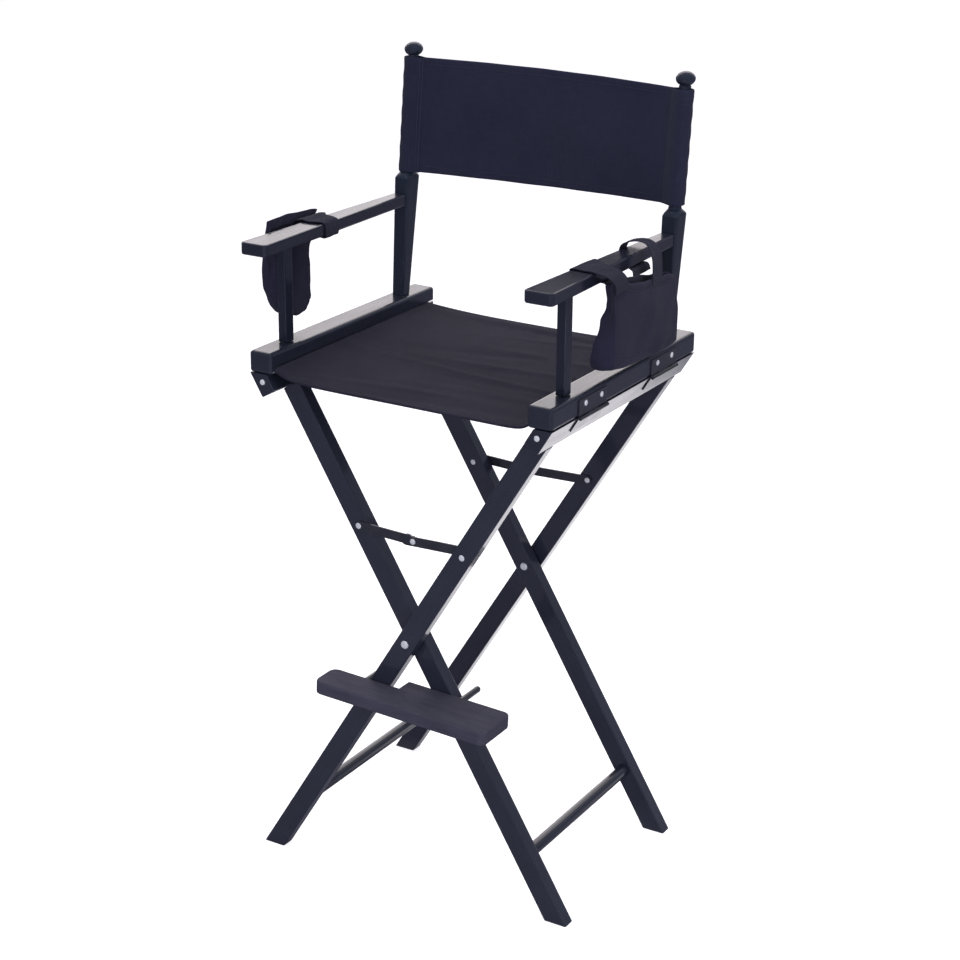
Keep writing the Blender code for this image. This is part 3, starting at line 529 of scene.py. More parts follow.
def screw_head(name, tip, outward, across, radius, height):
    """Pan head on a plain shank, turned about the outward line through its tip."""
    rings = [(radius * across_share, -height * depth_share) for across_share, depth_share in SCREW_HEAD]
    rings += [(SCREW_SHANK, -height), (SCREW_SHANK, -height - SCREW_SHANK_LENGTH)]
    angles = [2 * pi * k / SCREW_SIDES for k in range(SCREW_SIDES)]
    spokes = [across * cos(angle) + UP * sin(angle) for angle in angles]
    mesh = bmesh.new()
    loops = [[mesh.verts.new(tip + outward * depth + spoke * ring_radius) for spoke in spokes]
             for ring_radius, depth in rings]
    for a, b in zip(loops, loops[1:]):
        for k in range(SCREW_SIDES):
            m = (k + 1) % SCREW_SIDES
            mesh.faces.new((a[k], a[m], b[m], b[k]))
    mesh.faces.new(loops[0])
    mesh.faces.new(list(reversed(loops[-1])))
    bmesh.ops.recalc_face_normals(mesh, faces=mesh.faces)
    return piece_of(mesh, name, BRIGHT)


def recess_cutter(tip, outward, along, radius):
    """Tapered bar that cuts one arm of a cross recess."""
    side = along.cross(outward)
    mesh = bmesh.new()
    for depth, length, width in RECESS_ENDS:
        for sign_a, sign_b in ((-1, -1), (1, -1), (1, 1), (-1, 1)):
            mesh.verts.new(tip + outward * depth + along * sign_a * radius * length
                           + side * sign_b * radius * width)
    mesh.verts.ensure_lookup_table()
    for face in ((0, 1, 2, 3), (7, 6, 5, 4), (0, 4, 5, 1), (1, 5, 6, 2), (2, 6, 7, 3), (3, 7, 4, 0)):
        mesh.faces.new([mesh.verts[i] for i in face])
    bmesh.ops.recalc_face_normals(mesh, faces=mesh.faces)
    return piece_of(mesh, "recess")


def cross_head_screw(node, body, outward):
    """Pan head with a cross recess on a plain shank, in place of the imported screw."""
    low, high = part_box(node)
    centre = (low + high) / 2
    outward = Vector(outward)
    reach = max(low.dot(outward), high.dot(outward)) - centre.dot(outward)
    tip = centre + outward * reach
    across = UP.cross(outward)
    radius = (high.z - low.z) / 2
    height = RAIL_SCREW_HEIGHT if abs(outward.y) else HINGE_SCREW_HEIGHT
    piece = screw_head(node + "_head", tip, outward, across, radius, height)
    turn = radians(Random(node).uniform(0, 90))
    cutters = []
    for angle in (turn, turn + pi / 2):
        cutter = recess_cutter(tip, outward, across * cos(angle) + UP * sin(angle), radius)
        cutters.append(cutter)
        modifier = piece.modifiers.new("recess", "BOOLEAN")
        modifier.object = cutter
        modifier.operation = "DIFFERENCE"
        modifier.solver = "EXACT"
    settle(piece, 35)
    for cutter in cutters:
        bpy.data.objects.remove(cutter)
    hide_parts(node)
    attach(piece, body)


for side_name, sign, lower_body in (("right", 1, "outer_frame"), ("left", -1, "inner_frame")):
    cross_head_screw(f"rail_screw_{side_name}_front", lower_body, (0, -1, 0))
    cross_head_screw(f"rail_screw_{side_name}_rear", lower_body, (0, 1, 0))
    for hinge in ("front", "rear"):
        for place in ("front", "rear"):
            cross_head_screw(f"hinge_screw_{side_name}_{hinge}_{place}", f"seat_side_{side_name}",
                             (sign, 0, 0))


# --- Seat canvas ------------------------------------------------------------------------------

SEAT_CLOTH = 0.0016
SEAT_HALF = RAIL_LOW.x + 0.0040
SEAT_Y = (SEAT_LOW.y, SEAT_HIGH.y)
SEAT_SAG_FRONT = 0.0155
SEAT_SAG_REAR = 0.0065
HEM = 0.014
STITCH_INSET = 0.003                          # from a hem's sewn edge to its stitches

draw = Random(11)
SEAT_FOLDS = []
for index in range(11):
    SEAT_FOLDS.append((
        (index + draw.uniform(0.2, 0.8)) / 11,            # place along the depth
        draw.uniform(-0.05, 0.09),                        # how far it drifts from left to right
        draw.uniform(0.014, 0.028),                       # width as a share of the depth
        draw.uniform(0.0012, 0.0026) * (1 if index % 3 else -0.8),
        draw.uniform(-0.2, 0.7),                          # where across it is strongest
        draw.uniform(0.45, 0.9),
    ))


def seat_height(x, y):
    """Middle of the seat cloth."""
    across = x / SEAT_HALF
    depth = (y - SEAT_Y[0]) / (SEAT_Y[1] - SEAT_Y[0])
    flat = 1 - abs(across) ** mix(11.0 if across < 0 else 20.0, 3.0, smooth(depth))
    sag = mix(SEAT_SAG_FRONT, SEAT_SAG_REAR, smooth(depth)) * flat
    folds = 0.0
    for place, drift, width, height, centre, reach in SEAT_FOLDS:
        offset = (depth - place - drift * across - 0.02 * sin(2.3 * across + place * 9)) / width
        folds += height * bell(offset) * bell((across - centre) / reach)
    near_rail = 1 - abs(across) ** 10
    return GROOVE_Z - sag + folds * near_rail


def seat_profile():
    """(y, drop below the cloth) from the rear hem's inner edge round to the front hem's inner edge."""
    y0, y1 = SEAT_Y
    fold = 0.0011
    half_turn = []
    for i in range(7):
        angle = -pi / 2 + pi * i / 6
        half_turn.append((fold * cos(angle), fold * sin(angle)))
    rear = [(y1 - HEM + HEM * i / 5 * 0.92, -2 * fold - 0.0001) for i in range(6)]
    rear += [(y1 - fold + a, -fold + b) for a, b in half_turn]
    front = [(y0 + (y1 - y), drop) for y, drop in reversed(rear)]
    steps = 86
    inner = [(mix(y1 - 0.004, y0 + 0.004, i / steps), 0.0) for i in range(steps + 1)]
    return rear + inner + front


SEAT_SPREAD = pi / 2 * 0.92                    # packs the columns more closely towards the rails
SEAT_COLUMNS = [SEAT_HALF * sin(SEAT_SPREAD * (-1 + 2 * i / 100)) / sin(SEAT_SPREAD) for i in range(101)]
seat_rows = [[Vector((x, y, seat_height(x, y) + drop)) for x in SEAT_COLUMNS] for y, drop in seat_profile()]
seat = cloth_grid("seat_cloth", seat_rows, SEAT_CLOTH, CANVAS_SEAT)


def seat_stitch_line(y):
    columns = [x for x in SEAT_COLUMNS if abs(x) < RAIL_LOW.x - 0.001]
    line = [Vector((x, y, seat_height(x, y) + SEAT_CLOTH / 2)) for x in columns]
    return line, [Vector((0, 0, 1))] * len(line)


seat_thread = stitches("seat_stitching", [seat_stitch_line(SEAT_Y[0] + HEM - STITCH_INSET),
                                          seat_stitch_line(SEAT_Y[1] - HEM + STITCH_INSET)])
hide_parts("seat_canvas")
for piece in (seat, seat_thread):
    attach(piece, "seat_side_right")
    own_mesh(piece)


# --- Back canvas ------------------------------------------------------------------------------

BACK_CLOTH = 0.0014
BACK_HEM = 0.012
HEM_STITCH_END = 0.006                         # from the sleeve's seam to the end of the hem's stitches
SEAM_OFFSET = 0.0215                           # from the spindle's middle to the sleeve's seam
SEAM_X = SIDE_X - SEAM_OFFSET
PANEL_HALF = SEAM_X + 0.0032
BACK_BOW = 0.0105
SLEEVE_RADIUS = 0.0118
SLEEVE_OVAL = 1.10                             # how much wider a sleeve is across than along its depth
SLEEVE_CURVE = 1.15                            # how the layers leave the seam; 1 is straight
SEAM_ROWS = (0.0022, 0.0062)                   # from the sleeve's seam to its two rows of stitches
SLEEVE_TOUCH = radians(54)                     # where the two layers leave the spindle, from the panel's line
SEAM_GAP_REAR, SEAM_GAP_FRONT = 0.0026, 0.0012
BACK_Z = (BACK_LOW.z, BACK_HIGH.z)


def back_edges(x):
    """Lowest and highest point of the back cloth at x."""
    tilt = x / SIDE_X
    share = 1 - tilt * tilt
    return BACK_Z[0] - 0.0026 + 0.0030 * tilt, BACK_Z[1] + 0.0002 + 0.0022 * share - 0.0016 * tilt


def back_depth(x, z):
    """Middle of the back cloth: bowed to the rear, with faint pulls from the corners."""
    across = x / SEAM_X
    bow = BACK_BOW * (1 - across * across)
    up = (z - BACK_Z[0]) / (BACK_Z[1] - BACK_Z[0])
    pull = 0.0010 * sin(7.0 * up + 2.0 * across) * max(0.0, 1 - abs(across)) ** 0.6
    pull += 0.0009 * sin(13.0 * across + 2.2 * up) * (1 - across * across)
    slack = 0.0014 * abs(across) ** 5 * sin(9.0 * up + 0.8)
    return spindle_y(z) + bow + pull + slack * (1 - across ** 8)


def hem_profile(low, high, fold, hem):
    """(z, offset to the rear) from the lower hem's inner edge round to the top hem's inner edge."""
    half_turn = [(-fold * sin(pi * i / 6), fold + fold * cos(pi * i / 6)) for i in range(7)]
    lower = [(low + hem * (1 - i / 5 * 0.9), 2 * fold + 0.0001) for i in range(6)]
    lower += [(low + fold + a, b) for a, b in half_turn]
    upper = [(low + high - z, offset) for z, offset in reversed(lower)]
    steps = 34
    middle = [(mix(low + 0.004, high - 0.004, i / steps), 0.0) for i in range(steps + 1)]
    return lower + middle + upper


BACK_COLUMNS = [mix(-PANEL_HALF, PANEL_HALF, i / 96) for i in range(97)]
column_profiles = [hem_profile(*back_edges(x), 0.0010, BACK_HEM) for x in BACK_COLUMNS]
back_rows = []
for index in range(len(column_profiles[0])):
    row = []
    for x, profile in zip(BACK_COLUMNS, column_profiles):
        z, offset = profile[index]
        row.append(Vector((x, back_depth(x, z) + offset, z)))
    back_rows.append(row)
back_panel = cloth_grid("back_cloth", back_rows, BACK_CLOTH, CANVAS_BACK)

hem_lines = []
for at_low_hem in (True, False):
    line = []
    for x in BACK_COLUMNS:
        low, high = back_edges(x)
        inset = BACK_HEM - STITCH_INSET
        z = low + inset if at_low_hem else high - inset
        if abs(x) < SEAM_X - HEM_STITCH_END:
            line.append(Vector((x, back_depth(x, z) - BACK_CLOTH / 2, z)))
    hem_lines.append((line, [Vector((0, -1, 0))] * len(line)))
    rear_line = [p + Vector((0, BACK_CLOTH + 0.0020, 0)) for p in line]
    hem_lines.append((rear_line, [Vector((0, 1, 0))] * len(line)))
back_thread = stitches("back_stitching", hem_lines)
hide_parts("back_canvas")
for piece in (back_panel, back_thread):
    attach(piece, "seat_side_right")
    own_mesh(piece)


def sleeve_plan():
    """(x, y) of a sleeve about its spindle, from the rear layer at the seam round to the front layer."""
    touch = pi - SLEEVE_TOUCH
    points = []
    steps = 8
    tangent = Vector((SLEEVE_RADIUS * SLEEVE_OVAL * cos(touch), SLEEVE_RADIUS * sin(touch)))
    for i in range(steps):
        t = i / steps
        x = mix(-SEAM_OFFSET, tangent.x, t)
        y = mix(SEAM_GAP_REAR, tangent.y, t ** SLEEVE_CURVE)
        points.append((x, y))
    turns = 26
    for i in range(turns + 1):
        angle = mix(touch, -touch, i / turns)
        points.append((SLEEVE_RADIUS * SLEEVE_OVAL * cos(angle), SLEEVE_RADIUS * sin(angle)))
    for i in range(1, steps + 1):
        t = 1 - i / steps
        x = mix(-SEAM_OFFSET, tangent.x, t)
        y = mix(SEAM_GAP_FRONT, tangent.y, t ** SLEEVE_CURVE)
        points.append((x, -y))
    return points


def add_sleeve(side, body):
    """Sleeve sewn round one spindle, with its top and bottom edges turned in."""
    plan = sleeve_plan()
    rows = []
    low, high = back_edges(side * SIDE_X)
    for z, offset in hem_profile(low, high, 0.0008, BACK_HEM):
        shrink = 1 - offset / SLEEVE_RADIUS
        row = []
        for i, (x, y) in enumerate(plan):
            ease = smooth(1 - (-x) / SEAM_OFFSET) if x < 0 else 1.0
            inset = mix(1.0, shrink, ease)
            crease = 0.0004 * sin(40 * (z - low) * 6.0 + i * 0.5) * ease
            px = x * (inset if x > -0.008 else 1.0) + crease
            row.append(Vector((side * (SIDE_X + px), spindle_y(z) + y * inset, z)))
        rows.append(row)
    name = "right" if side > 0 else "left"
    sleeve = cloth_grid(f"back_sleeve_{name}", rows, 0.0012, CANVAS_BACK)
    seam_rows = []
    for offset_x in SEAM_ROWS:
        for layer in (-1, 1):
            gap = SEAM_GAP_FRONT if layer < 0 else SEAM_GAP_REAR
            t = offset_x / (SEAM_OFFSET - SLEEVE_RADIUS * SLEEVE_OVAL * cos(SLEEVE_TOUCH))
            y = layer * mix(gap, SLEEVE_RADIUS * sin(SLEEVE_TOUCH), t ** SLEEVE_CURVE)
            line = []
            for i in range(25):
                z = mix(low + 0.003, high - 0.003, i / 24)
                x = side * (SEAM_X + offset_x)
                line.append(Vector((x, spindle_y(z) + y + layer * 0.0007, z)))
            seam_rows.append((line, [Vector((-0.35 * side, layer, 0)).normalized()] * len(line)))
    thread = stitches(f"sleeve_stitching_{name}", seam_rows)
    for piece in (sleeve, thread):
        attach(piece, body)
    return [sleeve, thread]


sleeves = add_sleeve(1, "seat_side_right") + add_sleeve(-1, "seat_side_left")


# --- Pouches ----------------------------------------------------------------------------------

POUCH_CLOTH = 0.0014
STRAP_CLOTH = 0.0014
END_INSET = 0.35                               # how far a bag is drawn in at its ends, its walls being 1
WALL_STEPS, SIDE_STEPS = 30, 10                # points along a bag's wall and round its side
POUCH_THREAD_LIFT = 0.0009                     # from the middle of a bag's cloth to its thread


def pouch_ring(shape, side, up, inset):
    """One level of a pouch: up is 0 at the bottom edge and 1 at the mouth; inset draws it in."""
    front = {wall: curve_at(shape["front_" + wall], up) + inset * END_INSET for wall in ("inner", "outer")}
    rear = {wall: curve_at(shape["rear_" + wall], up) - inset * END_INSET for wall in ("inner", "outer")}
    x0 = curve_at(shape["inner"], up) + inset
    x1 = curve_at(shape["outer"], up) - inset
    corner = min(shape["corner"], (x1 - x0) * 0.45)
    ring = []

    def put(x, y, wall):
        share = (y - front[wall]) / (rear[wall] - front[wall])
        low = curve_at(shape["bottom"], share)
        high = curve_at(shape["top_" + wall], share)
        z = mix(low, high, up)
        ring.append(Vector((side * x, y + SHIFT, z)))

    full = max(0.0, sin(pi * min(1, up * 0.85 + 0.12))) ** 0.7
    for i in range(WALL_STEPS + 1):                      # outer wall, front to rear
        t = i / WALL_STEPS
        y = mix(front["outer"] + corner, rear["outer"] - corner, t)
        belly = shape["belly"] * max(0.0, sin(pi * t)) ** 0.8 * full
        ripple = 0.0011 * sin(9 * t + 5 * up) * sin(pi * t) + 0.0008 * sin(21 * t - 7 * up) * sin(pi * t)
        put(x1 + belly + ripple, y, "outer")
    for i in range(1, SIDE_STEPS):                      # rear side
        t = i / SIDE_STEPS
        edge = mix(rear["outer"], rear["inner"], t)
        fold = shape["pleat"] * 0.6 * sin(pi * t) ** 2 * up
        put(mix(x1, x0, t), edge - corner * (1 - sin(pi * t)) - fold, "outer" if t < 0.35 else "inner")
    for i in range(WALL_STEPS + 1):                      # inner wall, rear to front
        t = i / WALL_STEPS
        y = mix(rear["inner"] - corner, front["inner"] + corner, t)
        put(x0 + 0.0010 * sin(6 * t + 3 * up), y, "inner")
    for i in range(1, SIDE_STEPS):                      # front side, with the fold of the gusset
        t = i / SIDE_STEPS
        edge = mix(front["inner"], front["outer"], t)
        fold = shape["pleat"] * sin(pi * t) ** 2 * smooth(up * 1.3)
        put(mix(x0, x1, t), edge + corner * (1 - sin(pi * t)) + fold, "inner" if t < 0.65 else "outer")
    return ring


def add_pouch(side, shape, body, node):
    """Sewn bag: bottom drawn in to a seam, walls, and a mouth with its edge turned in."""
    name = "right" if side > 0 else "left"
    levels = [(0.0, 0.0105), (0.0, 0.0085), (0.0, 0.0060), (0.002, 0.0036), (0.012, 0.0016), (0.03, 0.0004)]
    levels += [(mix(0.05, 0.985, i / 28), 0.0) for i in range(29)]
    levels += [(0.996, 0.0003), (1.0, 0.0009), (0.996, 0.0016)]
    levels += [(up, 0.0018) for up in (0.97, 0.93, 0.90)]
    rows = [pouch_ring(shape, side, up, inset) for up, inset in levels]
    bottom = rows[0]
    count = len(bottom)
    middle = sum(bottom, Vector()) / count
    cap = [[Vector((mix(middle.x, p.x, 0.35), p.y * 0.97 + middle.y * 0.03, p.z + 0.0012)) for p in bottom]]
    piece = cloth_grid(f"pouch_bag_{name}", cap + rows, POUCH_CLOTH, CANVAS_POUCH, closed=True)
    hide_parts(node)

    rows_of_thread = []
    outward = Vector((side, 0, 0))
    lift = outward * POUCH_THREAD_LIFT
    for column in (1, WALL_STEPS - 1):                   # beside the two upright seams
        line = [row[column] + lift for row in rows[7:-7]]
        rows_of_thread.append((line, [outward] * len(line)))
    for level in (len(levels) - 9, len(levels) - 8):     # below the mouth
        line = [p + lift for p in rows[level][1:WALL_STEPS]]
        rows_of_thread.append((line, [outward] * len(line)))
    line = [p + lift for p in rows[8][1:WALL_STEPS]]     # above the bottom seam
    rows_of_thread.append((line, [outward] * len(line)))
    thread = stitches(f"pouch_stitching_{name}", rows_of_thread)
    return [piece, thread]


def strap_grid(name, side, path, widths):
    """Strap whose middle follows path, with its (front, rear) reach at each point in widths.

    A point of path is (x out from the arm's middle, y on the chair, z).
    """
    steps = 7
    line = through([Vector(p) for p in path], steps)
    count = len(line)
    rows = []
    for i, p in enumerate(line):
        t = i / (count - 1) * (len(widths) - 1)
        j = min(int(t), len(widths) - 2)
        front = mix(widths[j][0], widths[j + 1][0], smooth(t - j))
        rear = mix(widths[j][1], widths[j + 1][1], smooth(t - j))
        row = []
        for k in range(13):
            share = k / 12
            y = p.y + mix(front, rear, share)
            taper = arm_half(y + SHIFT) - arm_half(p.y + SHIFT)
            x = p.x + taper * (1 if p.x > 0 else -1) * min(1.0, abs(p.x) / arm_half(p.y + SHIFT))
            curl = 0.0010 * sin(i * 0.55 + share * 4.0) * sin(pi * share)
            row.append(Vector((side * (SIDE_X + x), y + SHIFT, p.z + curl * 0.6)))
        rows.append(row)
    return cloth_grid(name, rows, STRAP_CLOTH, STRAP)


TOP = ARM_HIGH.z
UNDER = ARM_LOW.z
OUT = POUCH_HIGH.x - SIDE_X                   # from the arm's middle to the pouch's outer wall

right_shape = {
    "front_outer": [(0.0, -0.0850), (0.5, -0.0870), (1.0, -0.0940)],
    "front_inner": [(0.0, -0.0930), (0.14, -0.0980), (0.28, -0.0960), (0.42, -0.0870), (0.58, -0.0880),
                    (0.72, -0.0800), (1.0, -0.0880)],
    "rear_outer": [(0.0, 0.1120), (0.45, 0.1100), (0.80, 0.1020), (1.0, 0.0960)],
    "rear_inner": [(0.0, 0.1040), (0.5, 0.0990), (1.0, 0.0880)],
    "inner": [(0.0, 0.2290), (0.3, 0.2320), (0.55, 0.2370), (0.72, 0.2415), (0.85, 0.2440), (1.0, 0.2440)],
    "outer": [(0.0, 0.2585), (0.5, 0.2600), (1.0, 0.2590)],
    "bottom": [(0.0, 0.8060), (0.25, 0.8010), (0.7, 0.7965), (1.0, 0.7985)],
    "top_outer": [(0.0, 0.9280), (0.13, 0.9240), (0.34, 0.9140), (0.55, 0.9080), (0.85, 0.9045),
                  (1.0, 0.8985)],
    "top_inner": [(0.0, 0.9225), (0.36, 0.9185), (0.52, 0.9145), (0.80, 0.9060), (1.0, 0.9020)],
    "corner": 0.0050,
    "belly": 0.0042,
    "pleat": 0.0085,
}
left_shape = {
    "front_outer": [(0.0, -0.1420), (0.12, -0.1480), (0.28, -0.1545), (0.45, -0.1560), (0.75, -0.1510),
                    (1.0, -0.1450)],
    "front_inner": [(0.0, -0.1360), (0.3, -0.1440), (0.6, -0.1460), (1.0, -0.1450)],
    "rear_outer": [(0.0, -0.0660), (0.3, -0.0580), (0.75, -0.0500), (0.92, -0.0260), (1.0, -0.0160)],
    "rear_inner": [(0.0, -0.0760), (0.12, -0.0680), (0.6, -0.0615), (1.0, -0.0550)],
    "inner": [(0.0, 0.2340), (0.3, 0.2370), (0.55, 0.2400), (0.72, 0.2430), (0.85, 0.2448), (1.0, 0.2442)],
    "outer": [(0.0, 0.2585), (0.3, 0.2622), (0.7, 0.2618), (1.0, 0.2600)],
    "bottom": [(0.0, 0.8270), (0.25, 0.8160), (0.55, 0.8100), (0.80, 0.8120), (1.0, 0.8260)],
    "top_outer": [(0.0, 0.9510), (0.4, 0.9515), (0.8, 0.9485), (1.0, 0.9455)],
    "top_inner": [(0.0, 0.9170), (0.5, 0.9180), (1.0, 0.9170)],
    "corner": 0.0050,
    "belly": 0.0034,
    "pleat": 0.0070,
}

pouch_pieces = {
    "right": add_pouch(1, right_shape, "seat_side_right", "pouch_right"),
    "left": add_pouch(-1, left_shape, "seat_side_left", "pouch_left"),
}

right_half = arm_half(-0.080 + SHIFT)
rear_half = arm_half(0.030 + SHIFT)
left_half = arm_half(-0.058 + SHIFT)
pouch_pieces["right"].append(strap_grid(
    "strap_right_front", 1,
    [(OUT + 0.0012, -0.073, TOP - 0.030), (OUT + 0.0010, -0.074, TOP - 0.016),
     (OUT - 0.0045, -0.080, TOP - 0.0042), (right_half + 0.0040, -0.086, TOP + 0.0012),
     (right_half - 0.003, -0.086, TOP + 0.0022), (0.0, -0.082, TOP + 0.0017),
     (-right_half + 0.002, -0.078, TOP + 0.0018), (-right_half - 0.0018, -0.077, TOP - 0.003),
     (-right_half - 0.0018, -0.075, UNDER + 0.003), (-right_half + 0.003, -0.070, UNDER - 0.0022),
     (0.0, -0.066, UNDER - 0.0026), (right_half - 0.001, -0.064, UNDER - 0.0030),
     (right_half + 0.0040, -0.064, UNDER - 0.0100)],
    [(-0.018, 0.020), (-0.020, 0.018), (-0.024, 0.016), (-0.024, 0.018), (-0.024, 0.021),
     (-0.027, 0.028), (-0.030, 0.030), (-0.029, 0.028), (-0.026, 0.024), (-0.018, 0.018),
     (-0.013, 0.014), (-0.012, 0.012), (-0.012, 0.012)]))
pouch_pieces["right"].append(strap_grid(
    "strap_right_rear", 1,
    [(OUT - 0.0016, 0.036, TOP - 0.052), (OUT - 0.0014, 0.036, TOP - 0.026),
     (OUT - 0.0030, 0.036, TOP - 0.006), (OUT - 0.0090, 0.036, TOP + 0.0070),
     (OUT - 0.0190, 0.036, TOP + 0.0135), (0.0060, 0.036, TOP + 0.0135),
     (-rear_half + 0.0040, 0.036, TOP + 0.0080), (-rear_half - 0.0018, 0.036, TOP - 0.001),
     (-rear_half - 0.0020, 0.036, UNDER + 0.002), (-rear_half + 0.004, 0.036, UNDER - 0.0024),
     (0.0, 0.037, UNDER - 0.0026), (rear_half + 0.001, 0.038, UNDER - 0.0034),
     (rear_half + 0.0050, 0.038, UNDER - 0.0120)],
    [(-0.014, 0.014), (-0.015, 0.014), (-0.015, 0.014), (-0.013, 0.012), (-0.010, 0.010),
     (-0.009, 0.009), (-0.010, 0.010), (-0.010, 0.010), (-0.010, 0.010), (-0.012, 0.011),
     (-0.022, 0.013), (-0.034, 0.016), (-0.036, 0.017)]))
pouch_pieces["left"].append(strap_grid(
    "strap_left", -1,
    [(OUT - 0.0032, -0.055, TOP - 0.022), (OUT - 0.0034, -0.055, TOP - 0.008),
     (OUT - 0.0085, -0.056, TOP - 0.0005), (left_half + 0.0015, -0.057, TOP + 0.0026),
     (left_half * 0.4, -0.058, TOP + 0.0020), (-left_half + 0.002, -0.061, TOP + 0.0020),
     (-left_half - 0.0022, -0.062, TOP - 0.0035), (-left_half - 0.0026, -0.062, UNDER + 0.001),
     (-left_half + 0.001, -0.062, UNDER - 0.0030), (0.0, -0.060, UNDER - 0.0030),
     (left_half - 0.001, -0.060, UNDER - 0.0032), (left_half + 0.0040, -0.060, UNDER - 0.0100)],
    [(-0.026, 0.026), (-0.027, 0.027), (-0.027, 0.027), (-0.027, 0.026), (-0.028, 0.019),
     (-0.020, 0.015), (-0.018, 0.015), (-0.017, 0.015), (-0.016, 0.014), (-0.015, 0.014),
     (-0.015, 0.014), (-0.015, 0.014)]))

for side_name, made in pouch_pieces.items():
    for piece in made:
        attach(piece, "seat_side_" + side_name)


# --- Floor, lights and camera -----------------------------------------------------------------

FLOOR_RADIUS = 60.0
FLOOR_GLOW = 0.68
FLOOR_IN_GLOSS = (0.20, 0.20, 0.25)
POOL_CENTRE = (0.0, 0.85, 0.0)                 # bright floor behind the chair, seen only in its gloss
POOL_INNER, POOL_OUTER = 0.35, 0.75
POOL_GLOW = 1.35
SKY_DIM = (0.19, 0.20, 0.26)
SKY_WALL = (1.48, 1.40, 1.43)
SKY_EDGE = (0.62, 0.96)                        # cosines from the bright direction: dim below, full above
SKY_BRIGHT = Vector((-0.476, 0.814, 0.333))    # where the level faces reflect the surround from


def add_floor():
    """Pale floor: white in view with a faint soft shadow, and in the gloss darker with a bright pool."""
    mesh = bmesh.new()
    bmesh.ops.create_circle(mesh, cap_ends=True, segments=96, radius=FLOOR_RADIUS)
    paint = Paint("white_floor")
    place = paint.place()
    cloud = paint.noise(place, 3.0, 2.0)
    seen = paint.node("LightPath", output=0)
    pale = paint.ramp(cloud, (0.0, (0.86, 0.86, 0.87)), (1.0, (0.90, 0.90, 0.91)))
    colour = paint.blend(seen, (*FLOOR_IN_GLOSS, 1.0), pale)
    away = paint.node("VectorMath", {0: place, 1: POOL_CENTRE}, output=1, operation="DISTANCE")
    pool = paint.span(away, POOL_INNER, POOL_OUTER, POOL_GLOW, 0.0)
    glow = paint.node("Mix", {0: seen, 2: pool, 3: FLOOR_GLOW}, data_type="FLOAT")
    paint.put(paint.shader.inputs["Emission Color"], (1.0, 0.975, 0.985, 1.0))
    paint.put(paint.shader.inputs["Emission Strength"], glow)
    floor = piece_of(mesh, "floor", paint.finish(colour, 0.9, specular_ior_level=0.0))


LIGHTS = (                                     # name, place, target, size, watts, colour
    ("top_softbox", (0.4, -0.5, 3.6), (0, 0, 0.6), (2.4, 2.4), 70, (1.0, 1.0, 1.0)),
    ("front_fill", (1.6, -4.2, 2.0), (0, 0, 0.6), (2.6, 2.6), 90, (0.90, 0.95, 1.0)),
    ("side_fill", (4.0, 0.6, 1.6), (0, 0, 0.6), (2.2, 2.2), 60, (0.94, 0.95, 1.0)),
    ("low_fill", (1.4, -3.0, 0.35), (0, -0.1, 0.25), (2.0, 0.6), 31, (0.96, 0.95, 1.0)),
)


def add_light(name, place, target, size, power, colour):
    """Soft light that the gloss doesn't show."""
    light = bpy.data.lights.new(name, "AREA")
    light.shape = "RECTANGLE"
    light.size, light.size_y = size
    light.energy = power
    light.color = colour
    lamp = bpy.data.objects.new(name, light)
    bpy.context.scene.collection.objects.link(lamp)
    lamp.visible_glossy = False
    lamp.location = place
    lamp.rotation_mode = "QUATERNION"
    lamp.rotation_quaternion = (Vector(target) - Vector(place)).to_track_quat("-Z", "Y")


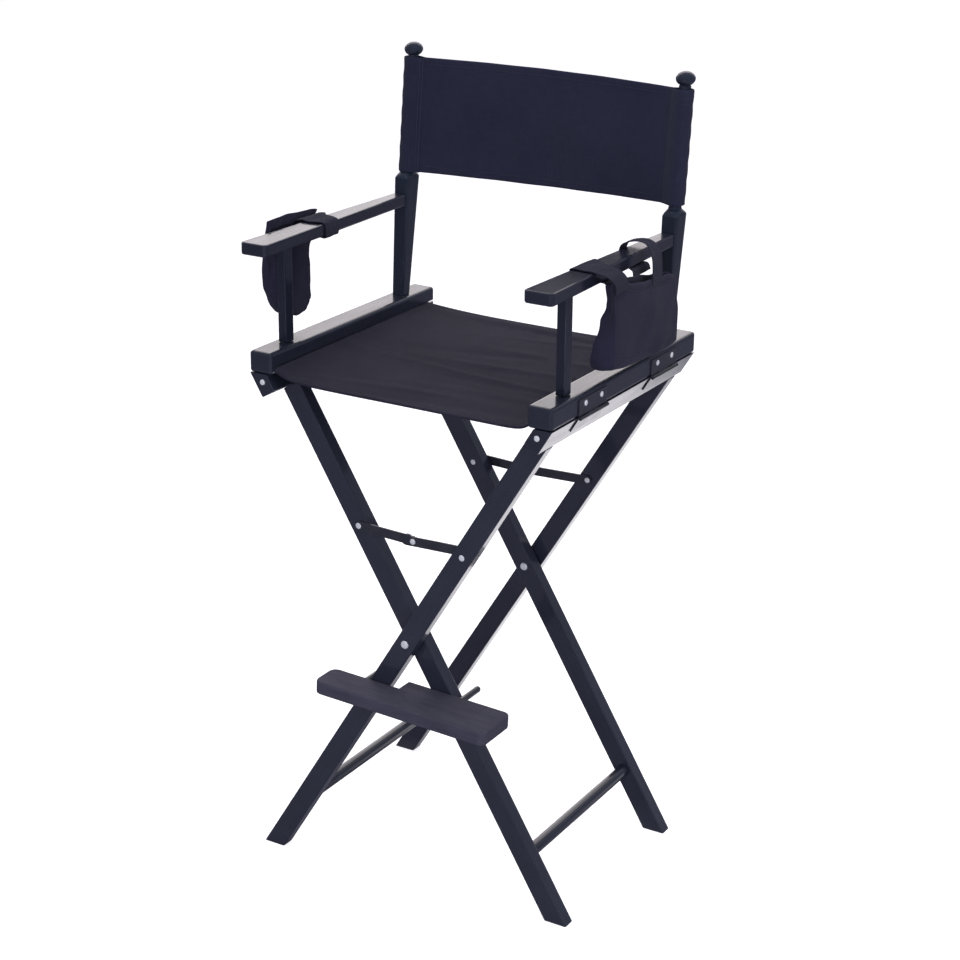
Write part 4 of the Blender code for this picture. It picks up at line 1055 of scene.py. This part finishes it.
def add_world():
    """Plain studio surround: a bright wall behind the chair, a dim room before it, white in view."""
    world = bpy.data.worlds.new("studio")
    world.use_nodes = True
    bpy.context.scene.world = world
    nodes, links = world.node_tree.nodes, world.node_tree.links
    background = nodes["Background"]
    place = nodes.new("ShaderNodeTexCoord")
    dot = nodes.new("ShaderNodeVectorMath")
    dot.operation = "DOT_PRODUCT"
    links.new(place.outputs["Generated"], dot.inputs[0])
    dot.inputs[1].default_value = SKY_BRIGHT.normalized()
    ramp = nodes.new("ShaderNodeValToRGB")
    ramp.color_ramp.interpolation = "EASE"
    elements = ramp.color_ramp.elements
    elements[0].position, elements[1].position = SKY_EDGE
    elements[0].color = (*SKY_DIM, 1)
    elements[1].color = (*SKY_WALL, 1)
    links.new(dot.outputs["Value"], ramp.inputs[0])
    seen = nodes.new("ShaderNodeLightPath")
    choose = nodes.new("ShaderNodeMix")
    choose.data_type = "RGBA"
    links.new(seen.outputs["Is Camera Ray"], choose.inputs[0])
    links.new(ramp.outputs[0], choose.inputs[6])
    choose.inputs[7].default_value = (1, 1, 1, 1)
    links.new(choose.outputs[2], background.inputs["Color"])


CAMERA_PLACE = (1.49353, -2.47271, 1.65998)
CAMERA_YAW = radians(30.32)
CAMERA_DOWN = radians(19.46)
CAMERA_ROLL = radians(0.76)
CAMERA_SENSOR, CAMERA_LENS = 36.0, 80.29       # millimetres
CAMERA_SHIFT = (-0.0204, -0.0403)


def add_camera():
    """Camera at the photo's place, looking down and slightly rolled."""
    data = bpy.data.cameras.new("camera")
    data.sensor_width = CAMERA_SENSOR
    data.lens = CAMERA_LENS
    data.shift_x, data.shift_y = CAMERA_SHIFT
    data.clip_start, data.clip_end = 0.05, 200.0
    camera = bpy.data.objects.new("camera", data)
    bpy.context.scene.collection.objects.link(camera)
    a, e, r = CAMERA_YAW, CAMERA_DOWN, CAMERA_ROLL
    forward = Vector((-sin(a) * cos(e), cos(a) * cos(e), -sin(e)))
    right = Vector((cos(a), sin(a), 0))
    up = right.cross(forward)
    rolled_right = right * cos(r) + up * sin(r)
    rolled_up = up * cos(r) - right * sin(r)
    turn = Matrix((rolled_right, rolled_up, -forward)).transposed().to_4x4()
    camera.matrix_world = Matrix.Translation(CAMERA_PLACE) @ turn
    bpy.context.scene.camera = camera


add_floor()
add_world()
for light in LIGHTS:
    add_light(*light)
add_camera()
bpy.context.scene.view_settings.view_transform = "Standard"
